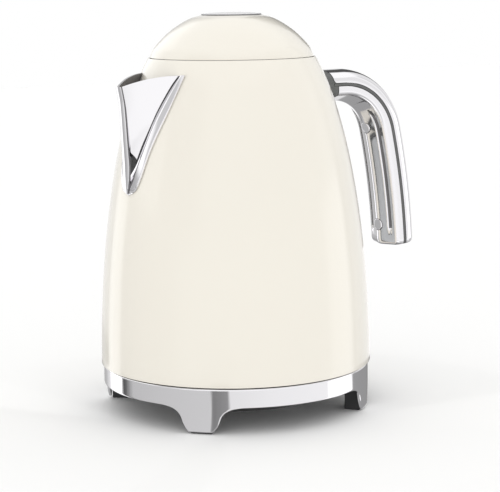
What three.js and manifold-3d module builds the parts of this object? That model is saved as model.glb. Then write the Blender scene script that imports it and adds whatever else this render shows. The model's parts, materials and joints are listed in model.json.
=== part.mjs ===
// Cordless electric kettle on a round power base.
// Millimetres, +Z up, +X towards the handle, -X towards the spout.
// The model's origin is on the floor, under the middle of the outer box.

import * as THREE from 'three';
import { mergeVertices } from 'three/addons/utils/BufferGeometryUtils.js';
import Module from 'manifold-3d';

const wasm = await Module();
wasm.setup();

// ---------------------------------------------------------------- dimensions

const HEIGHT = 248;                 // floor to the top of the lid button
const BODY_RADIUS = 85.5;           // widest part of the jug, just above its lower edge
const HANDLE_REACH = 140.5;         // jug axis to the outermost line of the handle
const AXIS_X = (BODY_RADIUS - HANDLE_REACH) / 2;   // puts the outer box over the origin
const BASE_TURN = THREE.MathUtils.degToRad(-4);    // the jug stands a little turned on its base
const GAP = 0.3;                    // air between pieces that touch
const FINE = 40;                    // facets round the jug's outer walls
const MEDIUM = 28;                  // facets round the hidden large pieces
const COARSE = 18;                  // facets round the small turned pieces

const body = { zLow: 28.9, zHigh: 220.2, wall: 1.2, curveStart: 30, curveHeight: 219.4, power: 1.83 };
const vessel = { inset: 4, wall: 1, zLow: 43, zFloor: 46, floor: 2, zHigh: 208 };
const ring = { radius: 84.1, wall: 1.8, zTop: 28.2, zLow: 16.3, bevel: 0.8, zFoot: 1.2 };
const foot = { bearings: [45, 135, 225, 315], inner: 72, outer: 81.8 };
const deck = { z: 24.4, thick: 2, seatTop: 28.6 };
const neck = { inner: 43.3, outer: 49.9, mouth: 48.9, zLow: 203.5, zCone: 214, zTop: 219.8 };
const lid = { rim: 51.2, zRim: 220.8, wall: 1.6, holeRadius: 19, zHole: 246.3 };
const plug = { radius: 41.5, wall: 1.2, flange: 48.6, zLow: 206, zTop: 222.3 };
const button = { radius: 18.6, crown: 1.5, travel: 3 };
const hinge = { x: 49.5, z: 213, pinRadius: 1.5, pocketHalf: 12.5 };
const grip = {
  rootX: 58, bendX: 79, topZ: 200.3, bendRadius: 39.5, bendAngle: 77,
  sweepRadius: 450, endZ: 91.5, endRound: 4, halfWidth: 14.5, strip: 0.9, innerSide: 7.3, spine: 11.8,
};
const spout = { zApex: 139.5, zTop: 212, flange: 1.5, wall: 1.4, noseHalf: 2.2 };
const gauge = { zLow: 62, zHigh: 148, halfWidth: 5.5, frame: 2.6 };
const lever = { pivotX: 75, pivotZ: 37, knobX: 94, knobZ: 42, halfWidth: 1.9 };

const finish = {
  cream: { color: 0xefe9d8, roughness: 0.18, metalness: 0 },
  chrome: { color: 0xd6d7da, roughness: 0.08, metalness: 1 },
  steel: { color: 0xb9bbbd, roughness: 0.32, metalness: 1 },
  greyPlastic: { color: 0x55565a, roughness: 0.5, metalness: 0 },
  blackPlastic: { color: 0x1b1b1d, roughness: 0.55, metalness: 0 },
  rubber: { color: 0x2a2a2b, roughness: 0.85, metalness: 0 },
  silicone: { color: 0x9a9a98, roughness: 0.7, metalness: 0 },
  brass: { color: 0xc9a24e, roughness: 0.3, metalness: 1 },
  clear: { color: 0xdfe6e8, roughness: 0.05, metalness: 0 },
};

// ------------------------------------------------------------------- helpers

const rad = THREE.MathUtils.degToRad;
const v3 = (x, y, z) => new THREE.Vector3(x, y, z);

// A closed solid from a geometry: positions merged, collapsed faces dropped, faces outwards.
function solidOf(geometry) {
  const bare = new THREE.BufferGeometry();
  bare.setAttribute('position', geometry.getAttribute('position').clone());
  if (geometry.index) bare.setIndex(geometry.index.clone());
  const merged = mergeVertices(bare, 1e-4);
  const source = merged.index.array;
  const tris = [];
  for (let i = 0; i < source.length; i += 3) {
    const [a, b, c] = [source[i], source[i + 1], source[i + 2]];
    if (a !== b && b !== c && a !== c) tris.push(a, b, c);
  }
  const points = merged.getAttribute('position').array;
  if (signedVolume(points, tris) < 0) {
    for (let i = 0; i < tris.length; i += 3) [tris[i], tris[i + 1]] = [tris[i + 1], tris[i]];
  }
  return new wasm.Manifold(new wasm.Mesh({
    numProp: 3,
    vertProperties: new Float32Array(points),
    triVerts: new Uint32Array(tris),
  }));
}

function signedVolume(points, tris) {
  const corner = (i) => v3(points[3 * i], points[3 * i + 1], points[3 * i + 2]);
  let sum = 0;
  for (let i = 0; i < tris.length; i += 3) {
    sum += corner(tris[i]).dot(corner(tris[i + 1]).cross(corner(tris[i + 2])));
  }
  return sum / 6;
}

function geometryOf(solid) {
  const mesh = solid.getMesh();
  const points = new Float32Array(mesh.numVert * 3);
  for (let i = 0; i < mesh.numVert; i += 1) {
    for (let k = 0; k < 3; k += 1) points[3 * i + k] = mesh.vertProperties[i * mesh.numProp + k];
  }
  const geometry = new THREE.BufferGeometry();
  geometry.setAttribute('position', new THREE.BufferAttribute(points, 3));
  geometry.setIndex(new THREE.BufferAttribute(new Uint32Array(mesh.triVerts), 1));
  return geometry;
}

function piece(name, solid, look) {
  const mesh = new THREE.Mesh(geometryOf(solid), new THREE.MeshStandardMaterial(look));
  mesh.name = name;
  return mesh;
}

// A profile of [radius, height] pairs turned about Z. One off the axis is closed on itself.
function turned(profile, segments = COARSE) {
  const onAxis = profile[0][0] === 0;
  const loop = onAxis ? profile : [...profile, profile[0]];
  const lathe = new THREE.LatheGeometry(loop.map(([r, z]) => new THREE.Vector2(r, z)), segments);
  return solidOf(lathe.rotateX(Math.PI / 2));
}

const disc = (radius, zLow, zHigh, segments) =>
  turned([[0, zLow], [radius, zLow], [radius, zHigh], [0, zHigh]], segments);

const tube = (inner, outer, zLow, zHigh, segments) =>
  turned([[inner, zLow], [outer, zLow], [outer, zHigh], [inner, zHigh]], segments);

function block([x0, x1], [y0, y1], [z0, z1]) {
  const box = new THREE.BoxGeometry(x1 - x0, y1 - y0, z1 - z0);
  return solidOf(box.translate((x0 + x1) / 2, (y0 + y1) / 2, (z0 + z1) / 2));
}

// A rod of the given radius between two points.
function rod(from, to, radius, segments = 12) {
  const along = to.clone().sub(from);
  const cylinder = new THREE.CylinderGeometry(radius, radius, along.length(), segments);
  const turn = new THREE.Quaternion().setFromUnitVectors(v3(0, 1, 0), along.clone().normalize());
  const middle = from.clone().add(to).multiplyScalar(0.5);
  return solidOf(cylinder.applyQuaternion(turn).translate(middle.x, middle.y, middle.z));
}

// A flat outline of [x, z] pairs in the XZ plane, thickened across Y.
function slab(outline, yLow, yHigh) {
  const shape = new THREE.Shape(outline.map(([x, z]) => new THREE.Vector2(x, z)));
  const depth = yHigh - yLow;
  const extruded = new THREE.ExtrudeGeometry(shape, { depth, bevelEnabled: false });
  return solidOf(extruded.rotateX(Math.PI / 2).translate(0, yHigh, 0));
}

// A skin over rings of equally many points; the ends are closed by triangulating `section`.
function lofted(rings, section) {
  const count = rings[0].length;
  const positions = rings.flat().flatMap((p) => [p.x, p.y, p.z]);
  const faces = [];
  for (let i = 0; i + 1 < rings.length; i += 1) {
    for (let j = 0; j < count; j += 1) {
      const [a, b] = [i * count + j, i * count + ((j + 1) % count)];
      faces.push(a, b, b + count, a, b + count, a + count);
    }
  }
  const cap = THREE.ShapeUtils.triangulateShape(section.map(([u, v]) => new THREE.Vector2(u, v)), []);
  const last = (rings.length - 1) * count;
  cap.forEach(([a, b, c]) => faces.push(a, c, b, last + a, last + b, last + c));
  const clockwise = THREE.ShapeUtils.isClockWise(section.map(([u, v]) => new THREE.Vector2(u, v)));
  if (clockwise) {
    const capStart = faces.length - cap.length * 6;
    for (let i = capStart; i < faces.length; i += 3) {
      [faces[i], faces[i + 1]] = [faces[i + 1], faces[i]];
    }
  }
  const geometry = new THREE.BufferGeometry();
  geometry.setAttribute('position', new THREE.Float32BufferAttribute(positions, 3));
  geometry.setIndex(faces);
  return solidOf(geometry);
}

const smooth = THREE.MathUtils.smoothstep;

// Values read off a smooth curve through a few [x, y] pairs in rising x.
function curveThrough(pairs, count) {
  const curve = new THREE.SplineCurve(pairs.map(([x, y]) => new THREE.Vector2(x, y)));
  return curve.getPoints(count).map((p) => [p.x, p.y]);
}

// A coil spring about Z.
function coil(radius, wire, zLow, zHigh, turns, stepsPerTurn = 9, sides = 4) {
  const steps = turns * stepsPerTurn;
  const rings = [];
  for (let i = 0; i <= steps; i += 1) {
    const angle = (2 * Math.PI * i) / stepsPerTurn;
    const z = THREE.MathUtils.lerp(zLow + wire, zHigh - wire, i / steps);
    const out = v3(Math.cos(angle), Math.sin(angle), 0);
    const section = [];
    for (let k = 0; k < sides; k += 1) {
      const t = (2 * Math.PI * k) / sides;
      section.push(out.clone().multiplyScalar(radius + wire * Math.cos(t)).setZ(z + wire * Math.sin(t)));
    }
    rings.push(section);
  }
  const circle = Array.from({ length: sides }, (_, k) => {
    const t = (2 * Math.PI * k) / sides;
    return [Math.cos(t), Math.sin(t)];
  });
  return lofted(rings, circle);
}

// --------------------------------------------------------- the jug's outline

// Outer radius of the jug at a height: nearly upright below, drawn in to the lid.
function bodyRadius(z) {
  const rise = Math.max(0, z - body.curveStart) / body.curveHeight;
  return BODY_RADIUS * Math.cbrt(1 - rise ** body.power);
}

// Heights for a turned wall, closer together where the wall curves in.
function wallHeights(zLow, zHigh, count) {
  return Array.from({ length: count + 1 }, (_, i) => {
    const t = i / count;
    return THREE.MathUtils.lerp(zLow, zHigh, 1 - (1 - t) ** 1.4);
  });
}

// A point on the jug's side, by height and by bearing in degrees from +X.
function onBody(z, bearing, offset) {
  const r = bodyRadius(z) + offset;
  return v3(r * Math.cos(rad(bearing)), r * Math.sin(rad(bearing)), z);
}

// A plate that follows the jug's side, centred on a bearing, between two offsets from it.
function bodyPatch({ bearing, zLow, zHigh, halfWidth, inner, outer, corner = 2, rows = 8 }) {
  const outline = [];
  const steps = 3;
  for (let quarter = 0; quarter < 4; quarter += 1) {
    const y = (quarter === 0 || quarter === 3 ? 1 : -1) * (halfWidth - corner);
    const z = quarter < 2 ? zHigh - corner : zLow + corner;
    for (let i = 0; i <= steps; i += 1) {
      const t = (Math.PI / 2) * (quarter + i / steps);
      outline.push([y + corner * Math.cos(t), z + corner * Math.sin(t)]);
    }
    if (quarter === 1 || quarter === 3) {
      for (let i = 1; i < rows; i += 1) {
        const t = quarter === 1 ? 1 - i / rows : i / rows;
        const side = quarter === 1 ? -halfWidth : halfWidth;
        outline.push([side, THREE.MathUtils.lerp(zLow + corner, zHigh - corner, t)]);
      }
    }
  }
  const ringAt = (offset) => outline.map(([y, z]) => {
    const r = bodyRadius(z) + offset;
    return v3(Math.sqrt(r * r - y * y), y, z).applyAxisAngle(v3(0, 0, 1), rad(bearing));
  });
  return lofted([ringAt(inner), ringAt(outer)], outline);
}

// ----------------------------------------------------------------- the base

// Height of the chrome skirt's lower edge at a bearing: level, and swept down to each foot.
function skirtEdge(degrees) {
  const away = Math.min(...foot.bearings.map((b) => Math.abs(((degrees - b + 540) % 360) - 180)));
  const flank = [[5.4, ring.zFoot], [7.3, 5], [8.9, 11], [10.6, 13.4], [13.4, 15.2], [18, ring.zLow]];
  if (away <= flank[0][0]) return ring.zFoot;
  for (let i = 1; i < flank.length; i += 1) {
    const [a0, z0] = flank[i - 1];
    const [a1, z1] = flank[i];
    if (away <= a1) return THREE.MathUtils.lerp(z0, z1, (away - a0) / (a1 - a0));
  }
  return ring.zLow;
}

// Thin-walled chrome ring with four feet drawn down out of it.
function baseSkirt() {
  const flank = [5.4, 7.3, 8.9, 10.6, 13.4, 18, 27, 36];
  const steps = [-45, ...flank.map((s) => -s).reverse(), 0, ...flank];
  const bearings = foot.bearings.flatMap((b) => steps.map((s) => b + s));
  const inner = ring.radius - ring.wall;
  const rings = bearings.map((degrees) => {
    const low = skirtEdge(degrees);
    const profile = [
      [inner, low], [ring.radius - 0.6, low], [ring.radius, low + 0.6],
      [ring.radius, ring.zTop - ring.bevel], [ring.radius - ring.bevel, ring.zTop], [inner, ring.zTop],
    ];
    const at = rad(degrees);
    return profile.map(([r, z]) => v3(r * Math.cos(at), r * Math.sin(at), z));
  });
  return closedLoft(rings);
}

// A skin over rings that run round and meet themselves.
function closedLoft(rings) {
  const count = rings[0].length;
  const faces = [];
  for (let i = 0; i < rings.length; i += 1) {
    const next = (i + 1) % rings.length;
    for (let j = 0; j < count; j += 1) {
      const k = (j + 1) % count;
      faces.push(i * count + j, next * count + j, next * count + k);
      faces.push(i * count + j, next * count + k, i * count + k);
    }
  }
  const geometry = new THREE.BufferGeometry();
  const positions = rings.flat().flatMap((p) => [p.x, p.y, p.z]);
  geometry.setAttribute('position', new THREE.Float32BufferAttribute(positions, 3));
  geometry.setIndex(faces);
  return solidOf(geometry);
}

// A wedge of ring between two radii, centred on a bearing.
function ringWedge(inner, outer, zLow, zHigh, bearing, halfAngle, steps = 3) {
  const angleAt = (i) => rad(bearing + halfAngle * ((2 * i) / steps - 1));
  const angles = Array.from({ length: steps + 1 }, (_, i) => angleAt(i));
  const outline = [
    ...angles.map((a) => [outer * Math.cos(a), outer * Math.sin(a)]),
    ...angles.reverse().map((a) => [inner * Math.cos(a), inner * Math.sin(a)]),
  ];
  const level = (z) => outline.map(([x, y]) => v3(x, y, z));
  return lofted([level(zLow), level(zHigh)], outline);
}

const spool = { radius: 42, wall: 2, zLow: 9.9, flange: 58 };
const glandZ = 13.6;

// Places of the three long screws that hold cover, spool and deck together.
const baseScrewPlaces = [60, 180, 300].map((bearing) => {
  const circle = spool.radius - 6.3;
  return [circle * Math.cos(rad(bearing)), circle * Math.sin(rad(bearing)), 0];
});

// The same upright hole or boss at each of the three screws.
function atBaseScrews(solid) {
  const [a, b, c] = baseScrewPlaces.map((place) => solid.translate(place));
  return a.add(b).add(c);
}

// Deck of the base, with the raised ring that the jug stands on.
function baseCore() {
  const { z, thick, seatTop } = deck;
  const plate = turned([
    [0, z], [foot.outer, z], [foot.outer, z + thick], [78, z + thick], [77, seatTop],
    [62, seatTop], [61, z + thick], [0, z + thick],
  ], MEDIUM);
  return plate.subtract(atBaseScrews(disc(1.8, z - 1, z + thick - 0.3, 10)));
}

// Drum that spare cord is wound on, with a boss for each screw inside it.
function cordSpool() {
  const { radius, wall, zLow } = spool;
  const top = deck.z - GAP;
  const drum = tube(radius - wall, radius, zLow, top, 24).add(atBaseScrews(disc(4.6, zLow, top, 12)));
  return drum.subtract(atBaseScrews(disc(1.9, zLow - 1, top + 1, 10)));
}

function baseBottomCover() {
  const { zLow, flange } = spool;
  const zTop = zLow - GAP;
  const cover = turned([[0, 8], [flange - 0.8, 8], [flange, 8.8], [flange, zTop], [0, zTop]], 24);
  return cover.subtract(atBaseScrews(disc(2.1, 5, 13, 10).add(disc(3.7, 5, 9, 10))));
}

function baseScrew(index) {
  const head = 8.8;
  const tip = deck.z + 1.4;
  const screw = turned([[0, 8.1], [3.2, 8.1], [3.2, head], [1.5, head], [1.5, tip], [0, tip]], 9);
  return screw.translate(baseScrewPlaces[index]);
}

function cordGland() {
  const bush = block([73, 81.6], [-5.2, 5.2], [8.4, deck.z - GAP]);
  return bush.subtract(rod(v3(70, 0, glandZ), v3(85, 0, glandZ), 3.4));
}

// Round plug of the base: a cup with a centre pin and a ring contact standing in it.
function connectorHub() {
  const floor = deck.z + deck.thick + GAP;
  return turned([[0, floor], [15.5, floor], [15.5, floor + 1.6], [13, floor + 1.6], [13, 38],
    [12.4, 38.6], [11.4, 38.6], [11.4, floor + 1.8], [0, floor + 1.8]]);
}

function buildBase() {
  const group = new THREE.Group();
  group.rotation.z = BASE_TURN;
  group.add(piece('base_skirt', baseSkirt(), finish.chrome));
  group.add(piece('base_core', baseCore(), finish.blackPlastic));
  group.add(piece('base_connector_hub', connectorHub(), finish.blackPlastic));
  const pin = turned([[0, 28.8], [2.6, 28.8], [2.6, 37], [1.6, 38.4], [0, 38.4]], 16);
  group.add(piece('centre_contact', pin, finish.brass));
  group.add(piece('ring_contact', tube(7, 8, 28.8, 37.5, 16), finish.brass));
  group.add(piece('cord_spool', cordSpool(), finish.blackPlastic));
  group.add(piece('base_bottom_cover', baseBottomCover(), finish.blackPlastic));
  group.add(piece('cord_gland', cordGland(), finish.rubber));
  for (let i = 0; i < 3; i += 1) group.add(piece(`base_screw_${i + 1}`, baseScrew(i), finish.steel));
  const footNames = ['handle_left', 'spout_left', 'spout_right', 'handle_right'];
  foot.bearings.forEach((bearing, i) => {
    const rubber = ringWedge(foot.inner, foot.outer, 0, deck.z - GAP, bearing, 4.8);
    group.add(piece(`rubber_foot_${footNames[i]}`, rubber, finish.rubber));
  });
  return group;
}

// ------------------------------------------------------------------ the spout

// Half-opening angle, in degrees, of the V trim's outer edge and of the beak at a height.
const flangeOuter = [
  [0, spout.zApex], [5.2, 142.5], [8.4, 150], [12.9, 168], [20.6, 191], [26.9, spout.zTop],
];
const flangeInner = [[0, 152], [4, 160], [8.3, 174], [12.6, 189], [18.9, 204], [23.6, spout.zTop]];

// A V-shaped band round the spout, lying between two offsets from the jug's side.
function vBand(outerEdge, innerEdge, inner, outer, stepsPerSide = 9) {
  const half = (edge) => curveThrough(edge, stepsPerSide);
  const mirrored = (points) => [...points.slice(1).reverse().map(([a, z]) => [-a, z]), ...points];
  const outside = mirrored(half(outerEdge));
  const inside = mirrored(half(innerEdge));
  const at = ([angle, z], offset) => onBody(z, 180 + angle, offset);
  const rings = outside.map((point, i) => [
    at(point, inner), at(point, outer - 0.5), at([point[0] * 0.94, point[1] + 0.5], outer),
    at(inside[i], outer), at(inside[i], inner),
  ]);
  return lofted(rings, [[0, 0], [0, 1], [0.3, 1.5], [2, 1.5], [2, 0]]);
}

// Distance of the beak's front edge from the jug's axis.
const noseReach = (z) => 77.8 + 5.4 * Math.max(0, (z - 158) / 47) ** 1.9;

// Beak angle at a height, from the same edge as the trim's inner side.
function beakAngle(z) {
  const edge = curveThrough(flangeInner, 24);
  for (let i = 1; i < edge.length; i += 1) {
    if (z <= edge[i][1]) {
      const t = (z - edge[i - 1][1]) / (edge[i][1] - edge[i - 1][1]);
      return THREE.MathUtils.lerp(edge[i - 1][0], edge[i][0], Math.max(0, t));
    }
  }
  return edge[edge.length - 1][0];
}

// A V-shaped prism that narrows downwards; `inset` moves its walls inwards.
function beakForm(inset) {
  const heights = [153.5, 158, 163, 169, 176, 184, 192, 200, 207, 214];
  const rings = heights.map((z) => {
    const angle = beakAngle(Math.min(z, spout.zTop - 0.4)) * 0.97;
    const base = onBody(z, 180 - angle, 0.2);
    const half = Math.max(0.5, base.y - inset * 1.4);
    const nose = noseReach(Math.min(z, 208)) - inset * 1.6;
    const noseHalf = Math.min(Math.max(0.4, spout.noseHalf - inset * 0.8), half * 0.6);
    const shoulder = nose - noseHalf * 0.55;
    const back = -base.x;
    const deep = back - 14;
    const side = (sign) => [
      v3(-nose, sign * noseHalf * 0.4, z), v3(-shoulder, sign * noseHalf, z),
      v3(-back, sign * half, z), v3(-deep, sign * half, z),
    ];
    const upper = side(1);
    const lower = side(-1).reverse();
    return [...upper, ...lower];
  });
  const section = rings[rings.length - 1].map((p) => [p.x, p.y]);
  return lofted(rings, section);
}

// The jug's outer form grown by an offset, used to trim what rests on it.
function bodyForm(offset, zLow = 20, zHigh = 222, rows = 20, segments = FINE) {
  const side = wallHeights(zLow, zHigh, rows).map((z) => [bodyRadius(z) + offset, z]);
  return turned([[0, zLow], ...side, [0, zHigh]], segments);
}

// The lip falls from the jug's side down to the pouring tip.
function aboveLip(drop = 0) {
  const lip = [
    [-90, 204.6], [-83.2, 204.8], [-80, 206], [-76.3, 207.5], [-68.4, 209.9], [-58, 211.5], [-48, 211.9],
  ];
  const outline = [...lip.map(([x, z]) => [x, z - drop]), [-40, 212 - drop], [-40, 230], [-90, 230]];
  return slab(outline, -45, 45);
}

function spoutBeak() {
  const wall = beakForm(0).subtract(beakForm(spout.wall));
  return wall.subtract(aboveLip()).subtract(bodyForm(GAP));
}

// Opening through the jug's side behind the beak.
function spoutPassage(zLow, zHigh) {
  return beakForm(spout.wall + 1).intersect(block([-90, -40], [-40, 40], [zLow, zHigh]));
}

function buildSpout() {
  const group = new THREE.Group();
  const outer = spout.flange + GAP;
  group.add(piece('spout_flange', vBand(flangeOuter, flangeInner, 1.5 * GAP, outer), finish.chrome));
  group.add(piece('spout_beak', spoutBeak(), finish.chrome));
  const sealOuter = [[0, 150], [9, 168], [15, 189], [19, 203.5]];
  const sealInner = [[0, 158], [5.5, 172], [10.5, 189], [15, 203.5]];
  const seal = vBand(sealOuter, sealInner, -vessel.inset + GAP, -body.wall - 0.9, 6);
  group.add(piece('spout_seal', seal, finish.silicone));
  return group;
}

// The lift-out scale filter: a frame that carries a perforated sheet, inside the vessel.
function filterFrame() {
  const wallOffset = -vessel.inset - vessel.wall;
  const plate = { bearing: 180, zLow: 156, zHigh: neck.zLow - GAP, halfWidth: 17, rows: 6 };
  const rim = bodyPatch({ ...plate, inner: wallOffset - 2.6, outer: wallOffset - 0.6 });
  const gap = { zLow: 160, zHigh: 198, halfWidth: 13, inner: wallOffset - 6, outer: wallOffset + 3 };
  const hole = bodyPatch({ ...plate, ...gap });
  return rim.subtract(hole);
}

function filterMesh() {
  const wallOffset = -vessel.inset - vessel.wall;
  const sheet = { bearing: 180, zLow: 160 + GAP, zHigh: 198 - GAP, halfWidth: 13 - GAP, rows: 6 };
  return bodyPatch({ ...sheet, inner: wallOffset - 2, outer: wallOffset - 1.4 });
}

// ------------------------------------------------------------------ the handle

// Stations down the parting strip of the handle: place, outward direction and distance to go.
function gripPath(bendSteps = 6, sweepSteps = 4) {
  const stations = [{ x: grip.rootX, z: grip.topZ, tilt: 0 }, { x: 69, z: grip.topZ, tilt: 0 }];
  for (let i = 0; i <= bendSteps; i += 1) {
    const tilt = (grip.bendAngle * i) / bendSteps;
    const x = grip.bendX + grip.bendRadius * Math.sin(rad(tilt));
    const z = grip.topZ - grip.bendRadius * (1 - Math.cos(rad(tilt)));
    stations.push({ x, z, tilt });
  }
  const bendEnd = stations[stations.length - 1];
  const lean = rad(90 - grip.bendAngle);
  for (let i = 1; i <= sweepSteps; i += 1) {
    const z = THREE.MathUtils.lerp(bendEnd.z, grip.endZ + grip.endRound, i / sweepSteps);
    const now = Math.asin(Math.sin(lean) - (bendEnd.z - z) / grip.sweepRadius);
    const x = bendEnd.x + grip.sweepRadius * (Math.cos(now) - Math.cos(lean));
    stations.push({ x, z, tilt: 90 - THREE.MathUtils.radToDeg(now) });
  }
  return stations;
}

const gripStations = gripPath();
const gripEnd = gripStations[gripStations.length - 1];
const gripCrown = (HANDLE_REACH - gripEnd.x) / Math.sin(rad(gripEnd.tilt));

// Rings of a swept handle piece; the free end is drawn in to round it off.
function gripSweep(sectionAt) {
  const roundEnd = [[0.68, 0.955], [1, 0.84]];
  const ringOf = (station, scale, down) => {
    const along = v3(Math.cos(rad(station.tilt)), 0, -Math.sin(rad(station.tilt)));
    const out = v3(Math.sin(rad(station.tilt)), 0, Math.cos(rad(station.tilt)));
    const origin = v3(station.x, 0, station.z).addScaledVector(along, down);
    const place = ([n, y]) => origin.clone().addScaledVector(out, n * scale).setY(y * scale);
    return sectionAt(station).map(place);
  };
  const rings = gripStations.map((station) => ringOf(station, 1, 0));
  roundEnd.forEach(([down, scale]) => rings.push(ringOf(gripEnd, scale, down * grip.endRound)));
  return lofted(rings, sectionAt(gripEnd));
}

// Crowned outer shell, deeper at the free end than at the root.
function outerSection(station) {
  const crown = THREE.MathUtils.lerp(10.2, gripCrown, Math.min(1, station.tilt / 80));
  const steps = 12;
  return Array.from({ length: steps + 1 }, (_, i) => {
    const t = (Math.PI * i) / steps;
    const y = grip.halfWidth * Math.sign(Math.cos(t)) * Math.abs(Math.cos(t)) ** 0.9;
    return [grip.strip + GAP + (crown - grip.strip - GAP) * Math.sin(t) ** 0.9, y];
  });
}

// Inner shell: flat sides, a keeled inner face and a flute each side of the keel.
function innerSection(station) {
  const side = grip.innerSide;
  const fluteTop = smooth(station.z, 100, 106) * (1 - smooth(station.z, 181, 188));
  const groove = 1.7 * fluteTop;
  const half = [
    [-(grip.strip + GAP), 14.5], [-4.6, 14.5], [-6.5, 13.8], [-side, 12.5], [-8, 10.8],
    [-8.4 + groove, 9.9], [-8.7 + groove, 8.3], [-9.3, 7.4], [-grip.spine + 0.5, 1.3],
  ];
  return [...half, [-grip.spine, 0], ...half.map(([n, y]) => [n, -y]).reverse()];
}

function stripSection() {
  const { strip, halfWidth } = grip;
  const side = halfWidth - 0.2;
  return [[strip, side], [-strip, side], [-strip, -side], [strip, -side]];
}

// Distances from the jug's axis of the collar's outer face, at its upper and lower end.
const collarFace = { zHigh: 227, high: 66.2, zLow: 177, low: 71.7 };

// Everything on the jug's side of the collar's outer face.
function rootCutter(shift) {
  const { zHigh, high, zLow, low } = collarFace;
  return slab([[20, zHigh], [high + shift, zHigh], [low + shift, zLow], [20, zLow]], -30, 30);
}

const capPlaces = { upper: 173.5, lower: 105.3 };

// Centre and outward direction of a screw cap on the inner face.
function capStation(z) {
  const i = gripStations.findIndex((s) => s.z < z);
  const [a, b] = [gripStations[i - 1], gripStations[i]];
  const t = (a.z - z) / (a.z - b.z);
  const tilt = THREE.MathUtils.lerp(a.tilt, b.tilt, t);
  const out = v3(Math.sin(rad(tilt)), 0, Math.cos(rad(tilt)));
  return { origin: v3(THREE.MathUtils.lerp(a.x, b.x, t), 0, z), out };
}

function capRod(z, radius, from, to) {
  const { origin, out } = capStation(z);
  const point = (n) => origin.clone().addScaledVector(out, -n);
  return rod(point(from), point(to), radius, 14);
}

function buildHandle() {
  const group = new THREE.Group();
  const collar = gripSweepCollar();
  group.add(piece('handle_collar', collar, finish.greyPlastic));
  const outer = gripSweep(outerSection).subtract(rootCutter(GAP));
  group.add(piece('handle_outer_shell', outer, finish.chrome));
  const strip = gripSweep(stripSection).subtract(rootCutter(GAP));
  group.add(piece('handle_strip', strip, finish.greyPlastic));
  let inner = gripSweep(innerSection).subtract(rootCutter(GAP));
  for (const z of Object.values(capPlaces)) {
    inner = inner.subtract(capRod(z, 4.1, 7.4, 20)).subtract(capRod(z, 2.6, 3, 10));
  }
  group.add(piece('handle_inner_shell', inner, finish.chrome));
  for (const [name, z] of Object.entries(capPlaces)) {
    const screw = capRod(z, 2.3, 4, 7.2);
    group.add(piece(`handle_screw_${name}`, screw, finish.steel));
    group.add(piece(`handle_cap_${name}`, capRod(z, 3.8, 7.7, grip.spine + 0.2), finish.chrome));
  }
  const lining = bodyForm(-body.wall - 0.6).subtract(bodyForm(-vessel.inset + GAP));
  const bracket = lining.intersect(block([40, 90], [-13, 13], [192, 207]));
  group.add(piece('handle_bracket', bracket.subtract(rootScrewHoles(2.4)), finish.steel));
  rootScrewPlaces.forEach((z, i) => {
    const shank = rod(v3(bodyRadius(z) - 3.2, 0, z), v3(bodyRadius(z) + 3, 0, z), 1.9, 12);
    group.add(piece(`handle_root_screw_${i + 1}`, shank, finish.steel));
  });
  return group;
}

const rootScrewPlaces = [196.5, 203.5];

function rootScrewHoles(radius) {
  const [a, b] = rootScrewPlaces.map((z) => {
    return rod(v3(bodyRadius(z) - 8, 0, z), v3(bodyRadius(z) + 3.4, 0, z), radius, 12);
  });
  return a.add(b);
}

// Grey collar that seats the handle on the jug.
function gripSweepCollar() {
  const root = gripStations[0];
  const upper = outerSection(root).map(([n, y]) => [n * 0.985, y * 0.985]);
  const lower = innerSection(root).slice(1, -1).reverse().map(([n, y]) => [n * 0.985, y * 0.985]);
  const section = [...upper, ...lower];
  const at = (x) => section.map(([n, y]) => v3(x, y, grip.topZ + n));
  const bar = lofted([at(50), at(76)], section);
  const { zHigh, high, zLow, low } = collarFace;
  const outside = slab([[high, zHigh], [120, zHigh], [120, zLow], [low, zLow]], -30, 30);
  return bar.subtract(outside).subtract(bodyForm(GAP)).subtract(rootScrewHoles(2.2));
}

// -------------------------------------------------------------------- the jug

function bodyShell() {
  const heights = wallHeights(body.zLow + 1, body.zHigh - 0.8, 9);
  const outer = heights.map((z) => [bodyRadius(z), z]);
  const innerHeights = wallHeights(body.zLow, body.zHigh, 7);
  const inner = innerHeights.map((z) => [bodyRadius(z) - body.wall, z]).reverse();
  const topOuter = bodyRadius(body.zHigh);
  let shell = turned([
    [bodyRadius(body.zLow) - 0.6, body.zLow], ...outer, [topOuter - 0.35, body.zHigh], ...inner,
  ], FINE);
  shell = shell.subtract(spoutPassage(161, 201)).subtract(rootScrewHoles(2.4));
  shell = shell.subtract(gaugeHole(GAP)).subtract(leverSlot(0.6));
  return shell;
}

// Open steel tube that follows the jug's side; the heating plate closes it below.
function innerVessel() {
  const outer = wallHeights(vessel.zLow, vessel.zHigh, 6).map((z) => [bodyRadius(z) - vessel.inset, z]);
  const inner = outer.map(([r, z]) => [r - vessel.wall, z]).reverse();
  return turned([...outer, ...inner], MEDIUM).subtract(spoutPassage(164, 199)).subtract(gaugeHole(GAP));
}

function heatingPlate() {
  const top = vessel.zFloor;
  const radius = bodyRadius(top) - vessel.inset - vessel.wall - GAP;
  const low = top - vessel.floor;
  return turned([[0, low], [radius, low], [radius, top - 0.5], [radius - 0.5, top], [0, top]], MEDIUM);
}

function gaugeHole(extra) {
  return bodyPatch({
    bearing: 0, zLow: gauge.zLow - extra, zHigh: gauge.zHigh + extra, halfWidth: gauge.halfWidth + extra,
    inner: -9, outer: 4, corner: 3, rows: 5,
  });
}

function leverSlot(extra) {
  const half = lever.halfWidth + extra;
  return block([76, 96], [-half, half], [33.2, 46.5]);
}

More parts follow.
